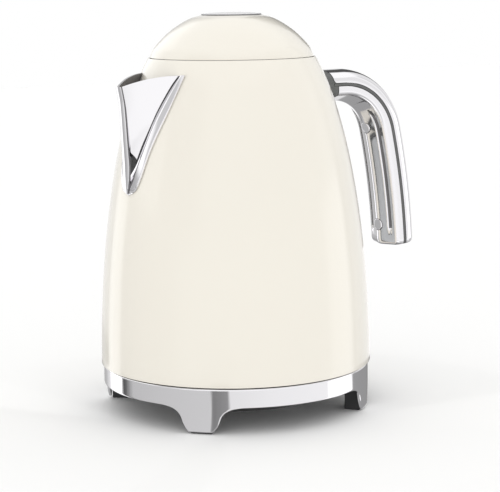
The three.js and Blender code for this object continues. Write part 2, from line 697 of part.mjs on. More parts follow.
function neckRing() {
  const { inner, outer, mouth, zLow, zCone, zTop } = neck;
  const solid = turned([
    [inner, zLow], [52.2, zLow], [52.2, vessel.zHigh + GAP], [53.8, vessel.zHigh + GAP],
    [52.9, 214.6], [outer, 217.4], [outer, zTop], [mouth, zTop], [inner, zCone],
  ], MEDIUM);
  const pocket = block([40, 60], [-hinge.pocketHalf, hinge.pocketHalf], [208.9, 225]);
  const catchGroove = block([-46.4, -40], [-4.8, 4.8], [212, 225]);
  const bore = rod(v3(hinge.x, -20, hinge.z), v3(hinge.x, 20, hinge.z), hinge.pinRadius + GAP);
  return solid.subtract(pocket).subtract(catchGroove).subtract(bore);
}

function jugBottomCover() {
  return turned([
    [17.6, 28.9], [83.2, 28.9], [83.9, 29.6], [83.9, 34], [82.4, 34], [82.4, 31.2], [17.6, 31.2],
  ], MEDIUM);
}

function jugConnector() {
  const outside = turned([
    [0, 40.4], [5.6, 40.4], [5.6, 30.4], [4, 30.4], [4, 40], [3.2, 40],
    [3.2, 42.9], [0, 42.9],
  ], COARSE);
  const crown = turned([
    [3.4, 40.4], [13.6, 40.4], [13.6, 29.6], [16.9, 29.6], [16.9, 42.9], [3.4, 42.9],
  ], COARSE);
  return crown.add(outside);
}

function controlUnit() {
  const arm = block([24, 47], [-9, 9], [31.5, 41.5]);
  return tube(17.4, 33, 31.5, 42.9, 24).add(arm);
}

function buildJug() {
  const group = new THREE.Group();
  group.add(piece('body_shell', bodyShell(), finish.cream));
  group.add(piece('inner_vessel', innerVessel(), finish.steel));
  group.add(piece('heating_plate', heatingPlate(), finish.steel));
  group.add(piece('heating_element', tube(50, 57, 38, 43.1, 24), finish.steel));
  group.add(piece('control_unit', controlUnit(), finish.blackPlastic));
  group.add(piece('jug_bottom_cover', jugBottomCover(), finish.blackPlastic));
  group.add(piece('jug_connector', jugConnector(), finish.blackPlastic));
  group.add(piece('neck_ring', neckRing(), finish.greyPlastic));
  group.add(piece('filter_frame', filterFrame(), finish.greyPlastic));
  group.add(piece('filter_mesh', filterMesh(), finish.steel));
  group.add(piece('gauge_window', bodyPatch({
    bearing: 0, zLow: gauge.zLow, zHigh: gauge.zHigh, halfWidth: gauge.halfWidth,
    inner: -7.5, outer: 1, corner: 3, rows: 5,
  }), finish.clear));
  const bezel = bodyPatch({
    bearing: 0, zLow: gauge.zLow - gauge.frame, zHigh: gauge.zHigh + gauge.frame,
    halfWidth: gauge.halfWidth + gauge.frame, inner: GAP + 0.5, outer: 1.8, corner: 5, rows: 6,
  });
  group.add(piece('gauge_bezel', bezel.subtract(gaugeHole(GAP)), finish.greyPlastic));
  return group;
}

// ------------------------------------------------------------------ the switch

function leverArm() {
  const { pivotX: x, pivotZ: z, knobX, knobZ, halfWidth } = lever;
  const outline = [
    [x - 8, z - 1.5], [x + 4, z - 1.8], [knobX - 3, knobZ - 1.6], [knobX - 3, knobZ + 1.6],
    [x + 3, z + 3], [x - 4, z + 2.6], [x - 8, z + 1.5],
  ];
  const arm = slab(outline, -halfWidth, halfWidth);
  return arm.subtract(rod(v3(x, -6, z), v3(x, 6, z), 1.2 + 0.05));
}

function leverKnob() {
  const ball = new THREE.SphereGeometry(4.6, 14, 8);
  const knob = solidOf(ball.translate(lever.knobX + 1.6, 0, lever.knobZ));
  const socket = block([lever.knobX - 6, lever.knobX - 3 + GAP], [-6, 6], [30, 50]);
  return knob.subtract(socket);
}

function switchFrame() {
  const { pivotX: x, pivotZ: z } = lever;
  let frame = block([58, 80], [-8, 8], [31.5, 33]);
  for (const side of [-1, 1]) {
    const ear = slab([[x - 4, 32.5], [x + 4, 32.5], [x + 3, z + 2.4], [x - 3, z + 2.4]], 2.3, 4.5);
    frame = frame.add(side > 0 ? ear : ear.mirror([0, 1, 0]));
  }
  return frame.subtract(rod(v3(x, -6, z), v3(x, 6, z), 1.15 + GAP));
}

function buildSwitch() {
  const group = new THREE.Group();
  group.add(piece('power_lever', leverArm(), finish.chrome));
  group.add(piece('lever_knob', leverKnob(), finish.chrome));
  group.add(piece('switch_frame', switchFrame(), finish.blackPlastic));
  const { pivotX: x, pivotZ: z } = lever;
  group.add(piece('lever_pin', rod(v3(x, -5, z), v3(x, 5, z), 1.15), finish.steel));
  const plate = bodyPatch({
    bearing: 0, zLow: 31.4, zHigh: 48.4, halfWidth: 4.6, inner: GAP, outer: 1.2, corner: 2, rows: 3,
  });
  group.add(piece('lever_bezel', plate.subtract(leverSlot(0.6)), finish.chrome));
  return group;
}

// --------------------------------------------------------------------- the lid

const domeOuter = [
  [lid.rim, lid.zRim], [48.8, 226], [44.3, 231.2], [38.7, 236.4], [32.2, 240.9], [25.4, 244.5],
  [lid.holeRadius, lid.zHole],
];

function lidDome() {
  const outer = curveThrough(domeOuter, 7);
  const domeInner = domeOuter.map(([r, z], i) => {
    const rise = i / (domeOuter.length - 1);
    return [r - lid.wall * Math.cos(rise * 1.2), z - lid.wall * Math.sin(rise * 1.4)];
  });
  domeInner[0][1] = lid.zRim;
  domeInner[domeInner.length - 1][0] = lid.holeRadius;
  return turned([...outer, ...curveThrough(domeInner, 4).reverse()], FINE);
}

function lidLiner() {
  const { radius, wall, flange, zLow, zTop } = plug;
  let liner = turned([
    [0, zLow], [radius - 1, zLow], [radius, zLow + 1], [radius, zTop - 1.2], [flange, zTop - 1.2],
    [flange - 0.45, zTop], [radius - wall, zTop], [radius - wall, zLow + 1.4], [0, zLow + 1.4],
  ], MEDIUM);
  liner = liner.subtract(block([-60, -38], [-4.5, 4.5], [213.2, 217.4]));
  return liner.add(tube(7.6, 9, zLow + 1, 213.3, COARSE));
}

function lidButton() {
  const { radius, crown } = button;
  const edge = HEIGHT - crown;
  const top = [
    [radius, edge - 0.6], [radius - 0.5, edge], [radius * 0.8, HEIGHT - crown * 0.55],
    [radius * 0.45, HEIGHT - crown * 0.15], [0, HEIGHT],
  ];
  return turned([
    [0, 219], [3.4, 219], [3.4, 243.6], [radius - 1.6, 243.6], [radius - 1.6, 240.6], [radius, 240.6],
    ...top,
  ], 24);
}

function buttonGuide() {
  return turned([
    [6.2, 223.4], [7.6, 223.4], [7.6, 236], [21.9, 236], [21.9, 243.5], [20.4, 243.5], [20.4, 237.4],
    [6.2, 237.4],
  ], 20);
}

function lidLatch() {
  const tip = -neck.inner - 1.9;
  const bolt = block([tip, -7.5], [-4, 4], [213.6, 217]);
  const wedge = slab([[tip - 0.1, 213.5], [tip + 2.4, 213.5], [tip - 0.1, 216]], -5, 5);
  return bolt.subtract(wedge);
}

function hingeBracket() {
  const { x, z, pinRadius } = hinge;
  const plate = plug.radius + GAP;
  let bracket = block([plate, plate + 1.4], [-9, 9], [z - 2.6, z + 2]);
  for (const side of [-1, 1]) {
    const near = side * 5;
    const far = side * 9;
    const knuckle = rod(v3(x, near, z), v3(x, far, z), 3.3, 14);
    const web = block([plate + 1, x], [Math.min(near, far), Math.max(near, far)], [z - 2, z + 1.5]);
    bracket = bracket.add(knuckle).add(web);
  }
  return bracket.subtract(rod(v3(x, -12, z), v3(x, 12, z), pinRadius + 0.08));
}

function buildLid() {
  const group = new THREE.Group();
  group.add(piece('lid_dome', lidDome(), finish.cream));
  group.add(piece('lid_liner', lidLiner(), finish.steel));
  group.add(piece('lid_seal', turned([
    [plug.radius + GAP, 206.9], [neck.inner - GAP, 207.7], [neck.inner - GAP, 208.9],
    [plug.radius + GAP, 209.7],
  ], MEDIUM), finish.silicone));
  group.add(piece('lid_hinge_bracket', hingeBracket(), finish.greyPlastic));
  group.add(piece('button_guide', buttonGuide(), finish.greyPlastic));
  group.add(piece('button_spring', coil(5, 0.55, 237.8, 243.2, 3), finish.steel));
  group.add(piece('lid_button', lidButton(), finish.chrome));
  group.add(piece('lid_latch', lidLatch(), finish.greyPlastic));
  const pinEnds = [v3(hinge.x, -14.8, hinge.z), v3(hinge.x, 14.8, hinge.z)];
  group.add(piece('lid_hinge_pin', rod(...pinEnds, hinge.pinRadius), finish.steel));
  const spring = coil(2.6, 0.5, -3.8, 3.8, 4, 8).rotate([90, 0, 0]).translate([hinge.x, 0, hinge.z]);
  group.add(piece('lid_hinge_spring', spring, finish.steel));
  return group;
}

// -------------------------------------------------------------- the assembly

const kettle = new THREE.Group();
kettle.position.x = AXIS_X;
kettle.add(buildBase(), buildJug(), buildSpout(), buildHandle(), buildSwitch(), buildLid());

export default kettle;
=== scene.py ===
"""Studio model of a cordless electric kettle standing on its round power base.

Lengths are millimetres from the jug's own upright axis, with +X towards the handle and
+Z up. `Workshop.settle` turns a finished piece into metres in the part's frame.
"""

import json
import logging
import math
from collections.abc import Callable, Iterable, Sequence
from dataclasses import dataclass, field
from enum import Enum
from typing import TypeVar

import bmesh
import bpy
from mathutils import Matrix, Vector

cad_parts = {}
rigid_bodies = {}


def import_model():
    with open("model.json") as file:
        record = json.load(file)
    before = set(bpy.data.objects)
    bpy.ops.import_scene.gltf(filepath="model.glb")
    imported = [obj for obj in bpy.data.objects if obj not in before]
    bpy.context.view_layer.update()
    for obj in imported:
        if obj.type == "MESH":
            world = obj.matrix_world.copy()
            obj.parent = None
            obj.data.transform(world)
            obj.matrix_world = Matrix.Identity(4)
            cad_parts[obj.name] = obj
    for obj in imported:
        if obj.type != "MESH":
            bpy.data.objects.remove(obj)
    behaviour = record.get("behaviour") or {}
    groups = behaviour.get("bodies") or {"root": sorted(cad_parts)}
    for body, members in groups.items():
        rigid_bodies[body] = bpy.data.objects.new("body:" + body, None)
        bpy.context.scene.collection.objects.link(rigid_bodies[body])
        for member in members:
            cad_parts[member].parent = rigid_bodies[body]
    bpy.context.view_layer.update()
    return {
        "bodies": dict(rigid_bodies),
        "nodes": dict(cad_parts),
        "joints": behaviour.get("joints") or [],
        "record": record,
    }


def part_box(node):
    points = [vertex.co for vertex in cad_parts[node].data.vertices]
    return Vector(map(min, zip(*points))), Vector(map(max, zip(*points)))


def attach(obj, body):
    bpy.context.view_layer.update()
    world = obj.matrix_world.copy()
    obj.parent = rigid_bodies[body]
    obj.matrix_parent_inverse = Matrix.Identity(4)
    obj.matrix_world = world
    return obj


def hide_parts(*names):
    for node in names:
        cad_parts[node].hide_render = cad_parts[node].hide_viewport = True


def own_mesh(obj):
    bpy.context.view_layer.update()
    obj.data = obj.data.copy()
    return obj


LOG = logging.getLogger("kettle")
MM = 0.001
GAP = 0.3
HINGE = (49.5, 213.0)
BEND_STEP = 2.5
LEVER_HALF = 2.5
LEVER_ZS = (33.2, 46.5)
SOCKET_TYPES = {float: "Float", int: "Int", tuple: "Vector"}
Point2 = tuple[float, float]
Corner = tuple[float, float, float]
Object = bpy.types.Object
Material = bpy.types.Material
Socket = bpy.types.NodeSocket
Outputs = bpy.types.bpy_prop_collection
Tree = bpy.types.NodeTree
Value = TypeVar("Value", float, Vector)


class Body(Enum):
    """The moving bodies that pieces ride on."""

    BASE = "base"
    CONNECTOR = "connector"
    JUG = "jug"
    LEVER = "switch_lever"
    LID = "lid"
    BUTTON = "open_button"
    LATCH = "latch"
    FILTER = "filter"


# ------------------------------------------------------------------ node helpers


class Nodes:
    """Short way to add and wire nodes in one tree."""

    def __init__(self, tree: Tree) -> None:
        """Keeps the tree that nodes are added to."""
        self.tree = tree

    def add(self, kind: str, links: dict | None = None, **settings) -> bpy.types.Node:
        """Adds a node.

        Args:
            kind: The node's type name.
            links: Input names or indices, each with a value or another node's output.
            settings: Properties of the node itself.

        Returns:
            The new node.
        """
        node = self.tree.nodes.new(kind)
        for key, value in settings.items():
            setattr(node, key, value)
        for key, value in (links or {}).items():
            if isinstance(value, Socket):
                self.tree.links.new(value, node.inputs[key])
            else:
                node.inputs[key].default_value = value
        return node

    def out(self, kind: str, links: dict | None = None, pick: int | str = 0, **settings) -> Socket:
        """Adds a node as `add` does, and returns the output that has the picked name or index."""
        return self.add(kind, links, **settings).outputs[pick]

    def math(self, operation: str, *values: float | Socket) -> Socket:
        """Adds a Math node for an operation on numbers or outputs, and returns its output."""
        return self.out("ShaderNodeMath", dict(enumerate(values)), operation=operation)

    def ramp(self, stops: Iterable[Point2], factor: Socket) -> Socket:
        """Adds a colour ramp and returns its colour output.

        Args:
            stops: Positions from 0 to 1 with their greys.
            factor: What drives the ramp.

        Returns:
            The ramp's colour output.
        """
        node = self.add("ShaderNodeValToRGB", {"Fac": factor})
        elements = node.color_ramp.elements
        for index, (place, grey) in enumerate(stops):
            stop = elements[index] if index < 2 else elements.new(place)
            stop.position = place
            stop.color = (grey, grey, grey, 1.0)
        return node.outputs["Color"]


def bare_nodes(owner: Material | bpy.types.World) -> Nodes:
    """Empties the nodes of a material or world, ready for new ones.

    Args:
        owner: The material or world.

    Returns:
        Its nodes, of which there are none yet.
    """
    owner.use_nodes = True
    owner.node_tree.nodes.clear()
    return Nodes(owner.node_tree)


def new_group(name: str, kind: str, inputs: dict, output: str, shape: str) -> tuple[Tree, Nodes, Outputs]:
    """Starts a node group with one output.

    Args:
        name: The group's name.
        kind: Its type name.
        inputs: Input names, each with its default or, where it has none, its socket type.
        output: The output's name.
        shape: The output's socket type, without the NodeSocket prefix.

    Returns:
        The group, its nodes, and its inputs as sockets by name.
    """
    tree = bpy.data.node_groups.new(name, kind)
    tree.interface.new_socket(name=output, in_out="OUTPUT", socket_type=f"NodeSocket{shape}")
    for label, value in inputs.items():
        bare = isinstance(value, str)
        sort = value if bare else SOCKET_TYPES[type(value)]
        socket = tree.interface.new_socket(name=label, in_out="INPUT", socket_type=f"NodeSocket{sort}")
        if not bare:
            socket.default_value = value
    nodes = Nodes(tree)
    return tree, nodes, nodes.add("NodeGroupInput").outputs


# ------------------------------------------------------------------ shader groups


def smudge_group() -> Tree:
    """Builds the group that varies a value slowly over a surface, as wiped metal does.

    Returns:
        The group.
    """
    inputs = {"Vector": "Vector", "Scale": 40.0, "Low": 0.1, "High": 0.2}
    tree, nodes, given = new_group("soft_smudges", "ShaderNodeTree", inputs, "Value", "Float")
    source = {"Vector": given["Vector"], "Scale": given["Scale"], "Detail": 3.0}
    limits = {"From Min": 0.2, "From Max": 0.8, "To Min": given["Low"], "To Max": given["High"]}
    noise = nodes.out("ShaderNodeTexNoise", source)
    nodes.add("NodeGroupOutput", {"Value": nodes.out("ShaderNodeMapRange", {"Value": noise, **limits})})
    return tree


def grain_group() -> Tree:
    """Builds the group that gives the height of a fine moulded, brushed or sprayed grain.

    Returns:
        The group.
    """
    inputs = {"Vector": "Vector", "Scale": 900.0, "Stretch": (1.0, 1.0, 1.0)}
    tree, nodes, given = new_group("fine_grain", "ShaderNodeTree", inputs, "Height", "Float")
    scaled = nodes.out(
        "ShaderNodeVectorMath", {0: given["Vector"], 1: given["Stretch"]}, operation="MULTIPLY"
    )
    noise = nodes.out("ShaderNodeTexNoise", {"Vector": scaled, "Scale": given["Scale"], "Detail": 2.0})
    nodes.add("NodeGroupOutput", {"Height": noise})
    return tree


def wear_group() -> Tree:
    """Builds the group that masks the outer edges, broken up as handling breaks them.

    Returns:
        The group.
    """
    inputs = {"Vector": "Vector", "Amount": 0.3, "Breakup": 300.0}
    tree, nodes, given = new_group("edge_wear", "ShaderNodeTree", inputs, "Mask", "Float")
    sharp = nodes.out("ShaderNodeNewGeometry", pick="Pointiness")
    limits = {"Value": sharp, "From Min": 0.505, "From Max": 0.56}
    edge = nodes.out("ShaderNodeMapRange", limits, interpolation_type="SMOOTHSTEP")
    source = {"Vector": given["Vector"], "Scale": given["Breakup"], "Detail": 4.0}
    broken = nodes.math("MULTIPLY", edge, nodes.out("ShaderNodeTexNoise", source))
    nodes.add("NodeGroupOutput", {"Mask": nodes.math("MULTIPLY", broken, given["Amount"])})
    return tree


@dataclass
class ShaderGroups:
    """The shader groups that the finishes share."""

    smudges: Tree = field(default_factory=smudge_group)
    grain: Tree = field(default_factory=grain_group)
    wear: Tree = field(default_factory=wear_group)


# ------------------------------------------------------------------ finishes


@dataclass(frozen=True)
class Finish:
    """How one kind of surface looks.

    The two colours are the clean surface and its worn edge. Roughness runs from its
    least to its greatest over a smudge, and the grain is a fine relief in metres.
    """

    name: str
    slot: str
    color: tuple[float, float, float]
    worn: tuple[float, float, float]
    roughness: tuple[float, float]
    metallic: float = 0.0
    coat: float = 0.0
    coat_roughness: float = 0.03
    smudge_scale: float = 25.0
    grain_scale: float = 900.0
    grain_stretch: tuple[float, float, float] = (1.0, 1.0, 1.0)
    grain_height: float = 0.00001
    wear: float = 0.3
    transmission: float = 0.0
    ior: float = 1.5

    def material(self, groups: ShaderGroups) -> Material:
        """Builds the material.

        Args:
            groups: The shared shader groups.

        Returns:
            The new material.
        """
        material = bpy.data.materials.new(self.name)
        nodes = bare_nodes(material)
        place = nodes.out("ShaderNodeTexCoord", pick="Object")
        low, high = self.roughness
        rough = {"Vector": place, "Scale": self.smudge_scale, "Low": low, "High": high}
        fine = {"Vector": place, "Scale": self.grain_scale, "Stretch": self.grain_stretch}
        worn = {"Vector": place, "Amount": self.wear}
        smudges = nodes.out("ShaderNodeGroup", rough, node_tree=groups.smudges)
        grain = nodes.out("ShaderNodeGroup", fine, node_tree=groups.grain)
        mask = nodes.out("ShaderNodeGroup", worn, node_tree=groups.wear)
        colors = {0: mask, 6: (*self.color, 1.0), 7: (*self.worn, 1.0)}
        relief = {"Strength": 1.0, "Distance": self.grain_height, "Height": grain}
        surface = {
            "Base Color": nodes.out("ShaderNodeMix", colors, 2, data_type="RGBA"),
            "Roughness": smudges,
            "Metallic": self.metallic,
            "IOR": self.ior,
            "Coat Weight": self.coat,
            "Coat Roughness": self.coat_roughness,
            "Transmission Weight": self.transmission,
            "Normal": nodes.out("ShaderNodeBump", relief),
        }
        shader = nodes.out("ShaderNodeBsdfPrincipled", surface)
        nodes.add("ShaderNodeOutputMaterial", {"Surface": shader})
        return material


ENAMEL = Finish(
    "cream_enamel", "enamel", (0.868, 0.828, 0.738), (0.8, 0.77, 0.69), (0.285, 0.315),
    coat=1.0, coat_roughness=0.09, smudge_scale=9.0, grain_scale=320.0, grain_height=0.000003, wear=0.15,
)
CHROME = Finish(
    "polished_chrome", "chrome", (0.91, 0.90, 0.92), (0.8, 0.79, 0.8), (0.05, 0.08),
    metallic=1.0, smudge_scale=30.0, grain_scale=500.0, grain_height=0.000002, wear=0.2,
)
SATIN_CHROME = Finish(
    "satin_chrome", "chrome", (0.93, 0.93, 0.94), (0.86, 0.86, 0.86), (0.2, 0.26),
    metallic=1.0, smudge_scale=40.0, grain_scale=900.0, grain_height=0.000004, wear=0.1,
)
# Darker copy of the chrome: painted shade on the beak's inner walls, the nose's sides, the handle's flutes
# and the button's edge.
SHADED_CHROME = Finish(
    "shaded_chrome", "chrome", (0.2, 0.195, 0.2), (0.2, 0.2, 0.2), (0.36, 0.44),
    metallic=1.0, smudge_scale=40.0, grain_scale=900.0, grain_height=0.00001, wear=0.1,
)
STEEL = Finish(
    "brushed_steel", "steel", (0.62, 0.62, 0.63), (0.72, 0.72, 0.72), (0.24, 0.36),
    metallic=1.0, smudge_scale=60.0, grain_scale=700.0, grain_stretch=(0.06, 0.06, 1.0),
    grain_height=0.00003, wear=0.4,
)
GREY = Finish(
    "satin_grey_plastic", "grey_plastic", (0.105, 0.108, 0.106), (0.19, 0.19, 0.19), (0.36, 0.48),
    smudge_scale=50.0, grain_scale=2200.0, grain_height=0.00002, wear=0.35,
)
BLACK = Finish(
    "textured_black_plastic", "black_plastic", (0.022, 0.022, 0.024), (0.07, 0.07, 0.07), (0.42, 0.55),
    smudge_scale=40.0, grain_scale=1800.0, grain_height=0.00004, wear=0.4,
)
RUBBER = Finish(
    "black_rubber", "rubber", (0.03, 0.03, 0.032), (0.06, 0.06, 0.06), (0.7, 0.85),
    smudge_scale=80.0, grain_scale=2500.0, grain_height=0.00003, wear=0.3,
)
SILICONE = Finish(
    "translucent_silicone", "silicone", (0.5, 0.5, 0.485), (0.6, 0.6, 0.58), (0.45, 0.6),
    smudge_scale=60.0, grain_scale=1500.0, grain_height=0.00002, wear=0.2,
)
BRASS = Finish(
    "plain_brass", "brass", (0.72, 0.52, 0.24), (0.85, 0.66, 0.36), (0.18, 0.3),
    metallic=1.0, smudge_scale=150.0, grain_scale=1500.0, grain_height=0.00001, wear=0.6,
)
CLEAR = Finish(
    "frosted_window", "clear_plastic", (0.8, 0.82, 0.82), (0.8, 0.82, 0.82), (0.3, 0.4),
    smudge_scale=60.0, grain_scale=1400.0, grain_height=0.000004, wear=0.1, transmission=0.35, ior=1.49,
)
FINISHES = (
    ENAMEL, CHROME, SATIN_CHROME, SHADED_CHROME, STEEL, GREY, BLACK, RUBBER, SILICONE, BRASS, CLEAR,
)


# ------------------------------------------------------------------ curve helpers


def hermite(start: Value, end: Value, slope_a: Value, slope_b: Value, t: float) -> Value:
    """Number or vector on the smooth curve between two, from the slopes at its ends.

    Args:
        start: Where the curve starts.
        end: Where it ends.
        slope_a: Slope at its start.
        slope_b: Slope at its end.
        t: Share of the way.

    Returns:
        The curve's value there.
    """
    return (
        start * (2 * t**3 - 3 * t**2 + 1)
        + slope_a * (t**3 - 2 * t**2 + t)
        + end * (3 * t**2 - 2 * t**3)
        + slope_b * (t**3 - t**2)
    )


def curve_through(points: Sequence[Point2], count: int) -> list[Point2]:
    """Reads points off an evenly parametrised smooth curve.

    Args:
        points: What the curve passes through.
        count: How many steps to take over the whole curve.

    Returns:
        The points at each step, ends included.
    """
    last = len(points) - 1
    found = []
    for step in range(count + 1):
        along = last * step / count
        index = min(int(along), last - 1)
        t = along - index
        four = [Vector(points[min(max(index + k, 0), last)]) for k in (-1, 0, 1, 2)]
        value = hermite(four[1], four[2], (four[2] - four[0]) / 2, (four[3] - four[1]) / 2, t)
        found.append((value.x, value.y))
    return found


def read_off(points: Sequence[Point2], x: float) -> float:
    """Reads a height off a curve that rises through points without overshoot.

    Args:
        points: Places and heights, in rising places.
        x: The place to read at.

    Returns:
        The height there.
    """
    if x <= points[0][0]:
        return points[0][1]
    for index in range(1, len(points)):
        (x0, y0), (x1, y1) = points[index - 1], points[index]
        if x > x1:
            continue
        spans = (max(index - 1, 1), index, min(index + 1, len(points) - 1))
        chords = [(points[k][1] - points[k - 1][1]) / (points[k][0] - points[k - 1][0]) for k in spans]
        slopes = []
        for before, after in zip(chords, chords[1:]):
            slopes.append(0.0 if before * after <= 0 else 2 * before * after / (before + after))
        width = x1 - x0
        return hermite(y0, y1, slopes[0] * width, slopes[1] * width, (x - x0) / width)
    return points[-1][1]


def smooth_step(x: float, low: float, high: float) -> float:
    """Rises smoothly from 0 at low to 1 at high."""
    t = min(max((x - low) / (high - low), 0.0), 1.0)
    return t * t * (3 - 2 * t)


def mix(a: float, b: float, t: float) -> float:
    """Value between a and b."""
    return a + (b - a) * t


def polar(radius: float, bearing: float, z: float = 0.0) -> Vector:
    """Point at a radius, a bearing in degrees from +X, and a height."""
    turn = math.radians(bearing)
    return Vector((radius * math.cos(turn), radius * math.sin(turn), z))


def rounded(corners: Sequence[Corner], closed: bool = True, steps: int = 4) -> list[Point2]:
    """Rounds the corners of an outline.

    Args:
        corners: Each corner's two coordinates and its rounding.
        closed: False where the outline's two ends aren't joined.
        steps: Faces round each corner.

    Returns:
        The rounded outline's points.
    """
    points = []
    count = len(corners)
    for index, (u, v, fillet) in enumerate(corners):
        at_end = not closed and index in (0, count - 1)
        if fillet <= 0 or at_end:
            points.append((u, v))
            continue
        here = Vector((u, v))
        back = Vector(corners[index - 1][:2]) - here
        ahead = Vector(corners[(index + 1) % count][:2]) - here
        reach = min(fillet, 0.48 * back.length, 0.48 * ahead.length)
        start = here + back.normalized() * reach
        end = here + ahead.normalized() * reach
        for step in range(steps + 1):
            t = step / steps
            spot = start * (1 - t) ** 2 + here * 2 * t * (1 - t) + end * t**2
            points.append((spot.x, spot.y))
    return points


@dataclass(frozen=True)
class JugForm:
    """The rule of the jug's outline: nearly upright below, drawn in to the lid."""

    radius: float = 85.5
    curve_start: float = 30.0
    curve_height: float = 219.4
    power: float = 1.83

    def radius_at(self, z: float) -> float:
        """Outer radius at a height."""
        rise = max(0.0, z - self.curve_start) / self.curve_height
        return self.radius * (1 - rise**self.power) ** (1 / 3)

    def point(self, z: float, bearing: float, offset: float = 0.0) -> Vector:
        """Point on the side, by height, bearing in degrees from +X, and distance out."""
        return polar(self.radius_at(z) + offset, bearing, z)

    def wall(self, low: float, high: float, offset: float, rows: int = 48) -> list[Point2]:
        """Outline points up the wall, closer together where it curves in."""
        heights = [mix(low, high, 1 - (1 - i / rows) ** 1.4) for i in range(rows + 1)]
        return [(self.radius_at(z) + offset, z) for z in heights]


FORM = JugForm()


# ------------------------------------------------------------------ mesh helpers


def placed(name: str, data: bpy.types.ID) -> Object:
    """Makes an object of some data and puts it in the scene.

    Args:
        name: The object's name.
        data: Its mesh or camera.

    Returns:
        The new object.
    """
    thing = bpy.data.objects.new(name, data)
    bpy.context.scene.collection.objects.link(thing)
    return thing


def mesh_piece(name: str, points: Sequence, faces: Sequence[Sequence[int]]) -> Object:
    """Makes an object from points and faces, with its faces turned outwards.

    Args:
        name: The piece's name.
        points: Vertex positions.
        faces: Vertex indices of each face.

    Returns:
        The new object.
    """
    mesh = bpy.data.meshes.new(name)
    mesh.from_pydata([tuple(p) for p in points], [], [tuple(f) for f in faces])
    piece = placed(name, mesh)
    tidy(piece)
    return piece


def tidy(piece: Object) -> None:
    """Merges doubles and turns the faces outwards.

    Args:
        piece: The piece, changed in place.
    """
    work = bmesh.new()
    work.from_mesh(piece.data)
    bmesh.ops.remove_doubles(work, verts=work.verts, dist=1e-5)
    bmesh.ops.dissolve_degenerate(work, edges=work.edges, dist=1e-6)
    bmesh.ops.recalc_face_normals(work, faces=work.faces)
    work.to_mesh(piece.data)
    work.free()


def skin(name: str, rings: Sequence[Sequence[Vector]], joined: bool = False) -> Object:
    """Skins a row of closed rings of equally many points.

    Args:
        name: The piece's name.
        rings: The rings in order.
        joined: True where the last ring meets the first; otherwise both ends are closed.

    Returns:
        The new object.
    """
    count = len(rings[0])
    points = [p for ring in rings for p in ring]
    faces = []
    for i in range(len(rings) if joined else len(rings) - 1):
        a, b = i * count, ((i + 1) % len(rings)) * count
        for j in range(count):
            k = (j + 1) % count
            faces.append((a + j, a + k, b + k, b + j))
    if not joined:
        faces.append(tuple(range(count)))
        faces.append(tuple(len(points) - count + j for j in reversed(range(count))))
    return mesh_piece(name, points, faces)


def upright(name: str, outline: Sequence[Point2], xs: Iterable[float]) -> Object:
    """Makes a plate of Y and Z pairs between two or more places along X."""
    return skin(name, [[Vector((x, y, z)) for y, z in outline] for x in xs])


def turned(
    name: str, corners: Sequence[Point2] | Sequence[Corner], segments: int = 160, steps: int = 4
) -> Object:
    """Turns an outline of radii and heights about the upright axis.

    Args:
        name: The piece's name.
        corners: Run from axis to axis, or round a closed section off the axis. A third
            value of each, where given, is the corner's rounding.
        segments: Steps round the axis.
        steps: Faces round each rounded corner.

    Returns:
        The new object.
    """
    closed = corners[0][0] > 0
    outline = rounded(corners, closed, steps) if len(corners[0]) > 2 else corners
    points: list[Corner] = []
    starts = []
    for r, z in outline:
        starts.append(len(points))
        for j in range(segments if r > 0 else 1):
            turn = 2 * math.pi * j / segments
            points.append((r * math.cos(turn), r * math.sin(turn), z))
    faces = []
    for i in range(len(outline) if closed else len(outline) - 1):
        after = (i + 1) % len(outline)
        low, high = outline[i][0] > 0, outline[after][0] > 0
        for j in range(segments):
            k = (j + 1) % segments
            a = (starts[i] + j, starts[i] + k) if low else (starts[i],)
            b = (starts[after] + k, starts[after] + j) if high else (starts[after],)
            if len(a) + len(b) > 2:
                faces.append(a + b)
    return mesh_piece(name, points, faces)


def moved(piece: Object, x: float = 0.0, z: float = 0.0) -> Object:
    """Moves a piece's mesh along X and Z, and returns the piece."""
    piece.data.transform(Matrix.Translation((x, 0, z)))
    return piece


def rod(
    name: str, start: Corner, end: Corner, radius: float, rim: float = 0.0, segments: int = 32
) -> Object:
    """Makes a round rod with rounded rims between two points.

    Args:
        name: The piece's name.
        start: Middle of one end.
        end: Middle of the other.
        radius: The rod's radius.
        rim: Rounding of its rims.
        segments: Steps round it.

    Returns:
        The new object.
    """
    along = Vector(end) - Vector(start)
    length = along.length
    flat = 0.97 * radius - rim
    outline = [
        (0, 0, 0), (flat, 0, 0), (radius, 0, rim), (radius, length, rim), (flat, length, 0), (0, length, 0),
    ]
    piece = turned(name, outline, segments)
    turn = Vector((0, 0, 1)).rotation_difference(along.normalized()).to_matrix().to_4x4()
    piece.data.transform(Matrix.Translation(start) @ turn)
    return piece


def cross_rod(name: str, spot: Point2, ys: Point2, radius: float, rim: float = 0.0) -> Object:
    """Makes a rod that lies across, at an X and a Z and between two places along Y."""
    (x, z), (left, right) = spot, ys
    return rod(name, (x, left, z), (x, right, z), radius, rim)


def slab(name: str, outline: Sequence[Point2], low: float, high: float, bevel: float = 0.0) -> Object:
    """Thickens an outline of X and Z pairs across Y, and bevels its edges.

    Args:
        name: The piece's name.
        outline: X and Z pairs.
        low: Its lesser Y.
        high: Its greater Y.
        bevel: Rounding of its edges.

    Returns:
        The new object.
    """
    rings = [[Vector((x, y, z)) for x, z in outline] for y in (low, high)]
    piece = skin(name, rings)
    soften(piece, bevel)
    return piece


def block(name: str, xs: Point2, ys: Point2, zs: Point2, bevel: float = 0.0) -> Object:
    """Makes a bevelled block between three pairs of limits."""
    outline = [(xs[0], zs[0]), (xs[1], zs[0]), (xs[1], zs[1]), (xs[0], zs[1])]
    return slab(name, outline, ys[0], ys[1], bevel)


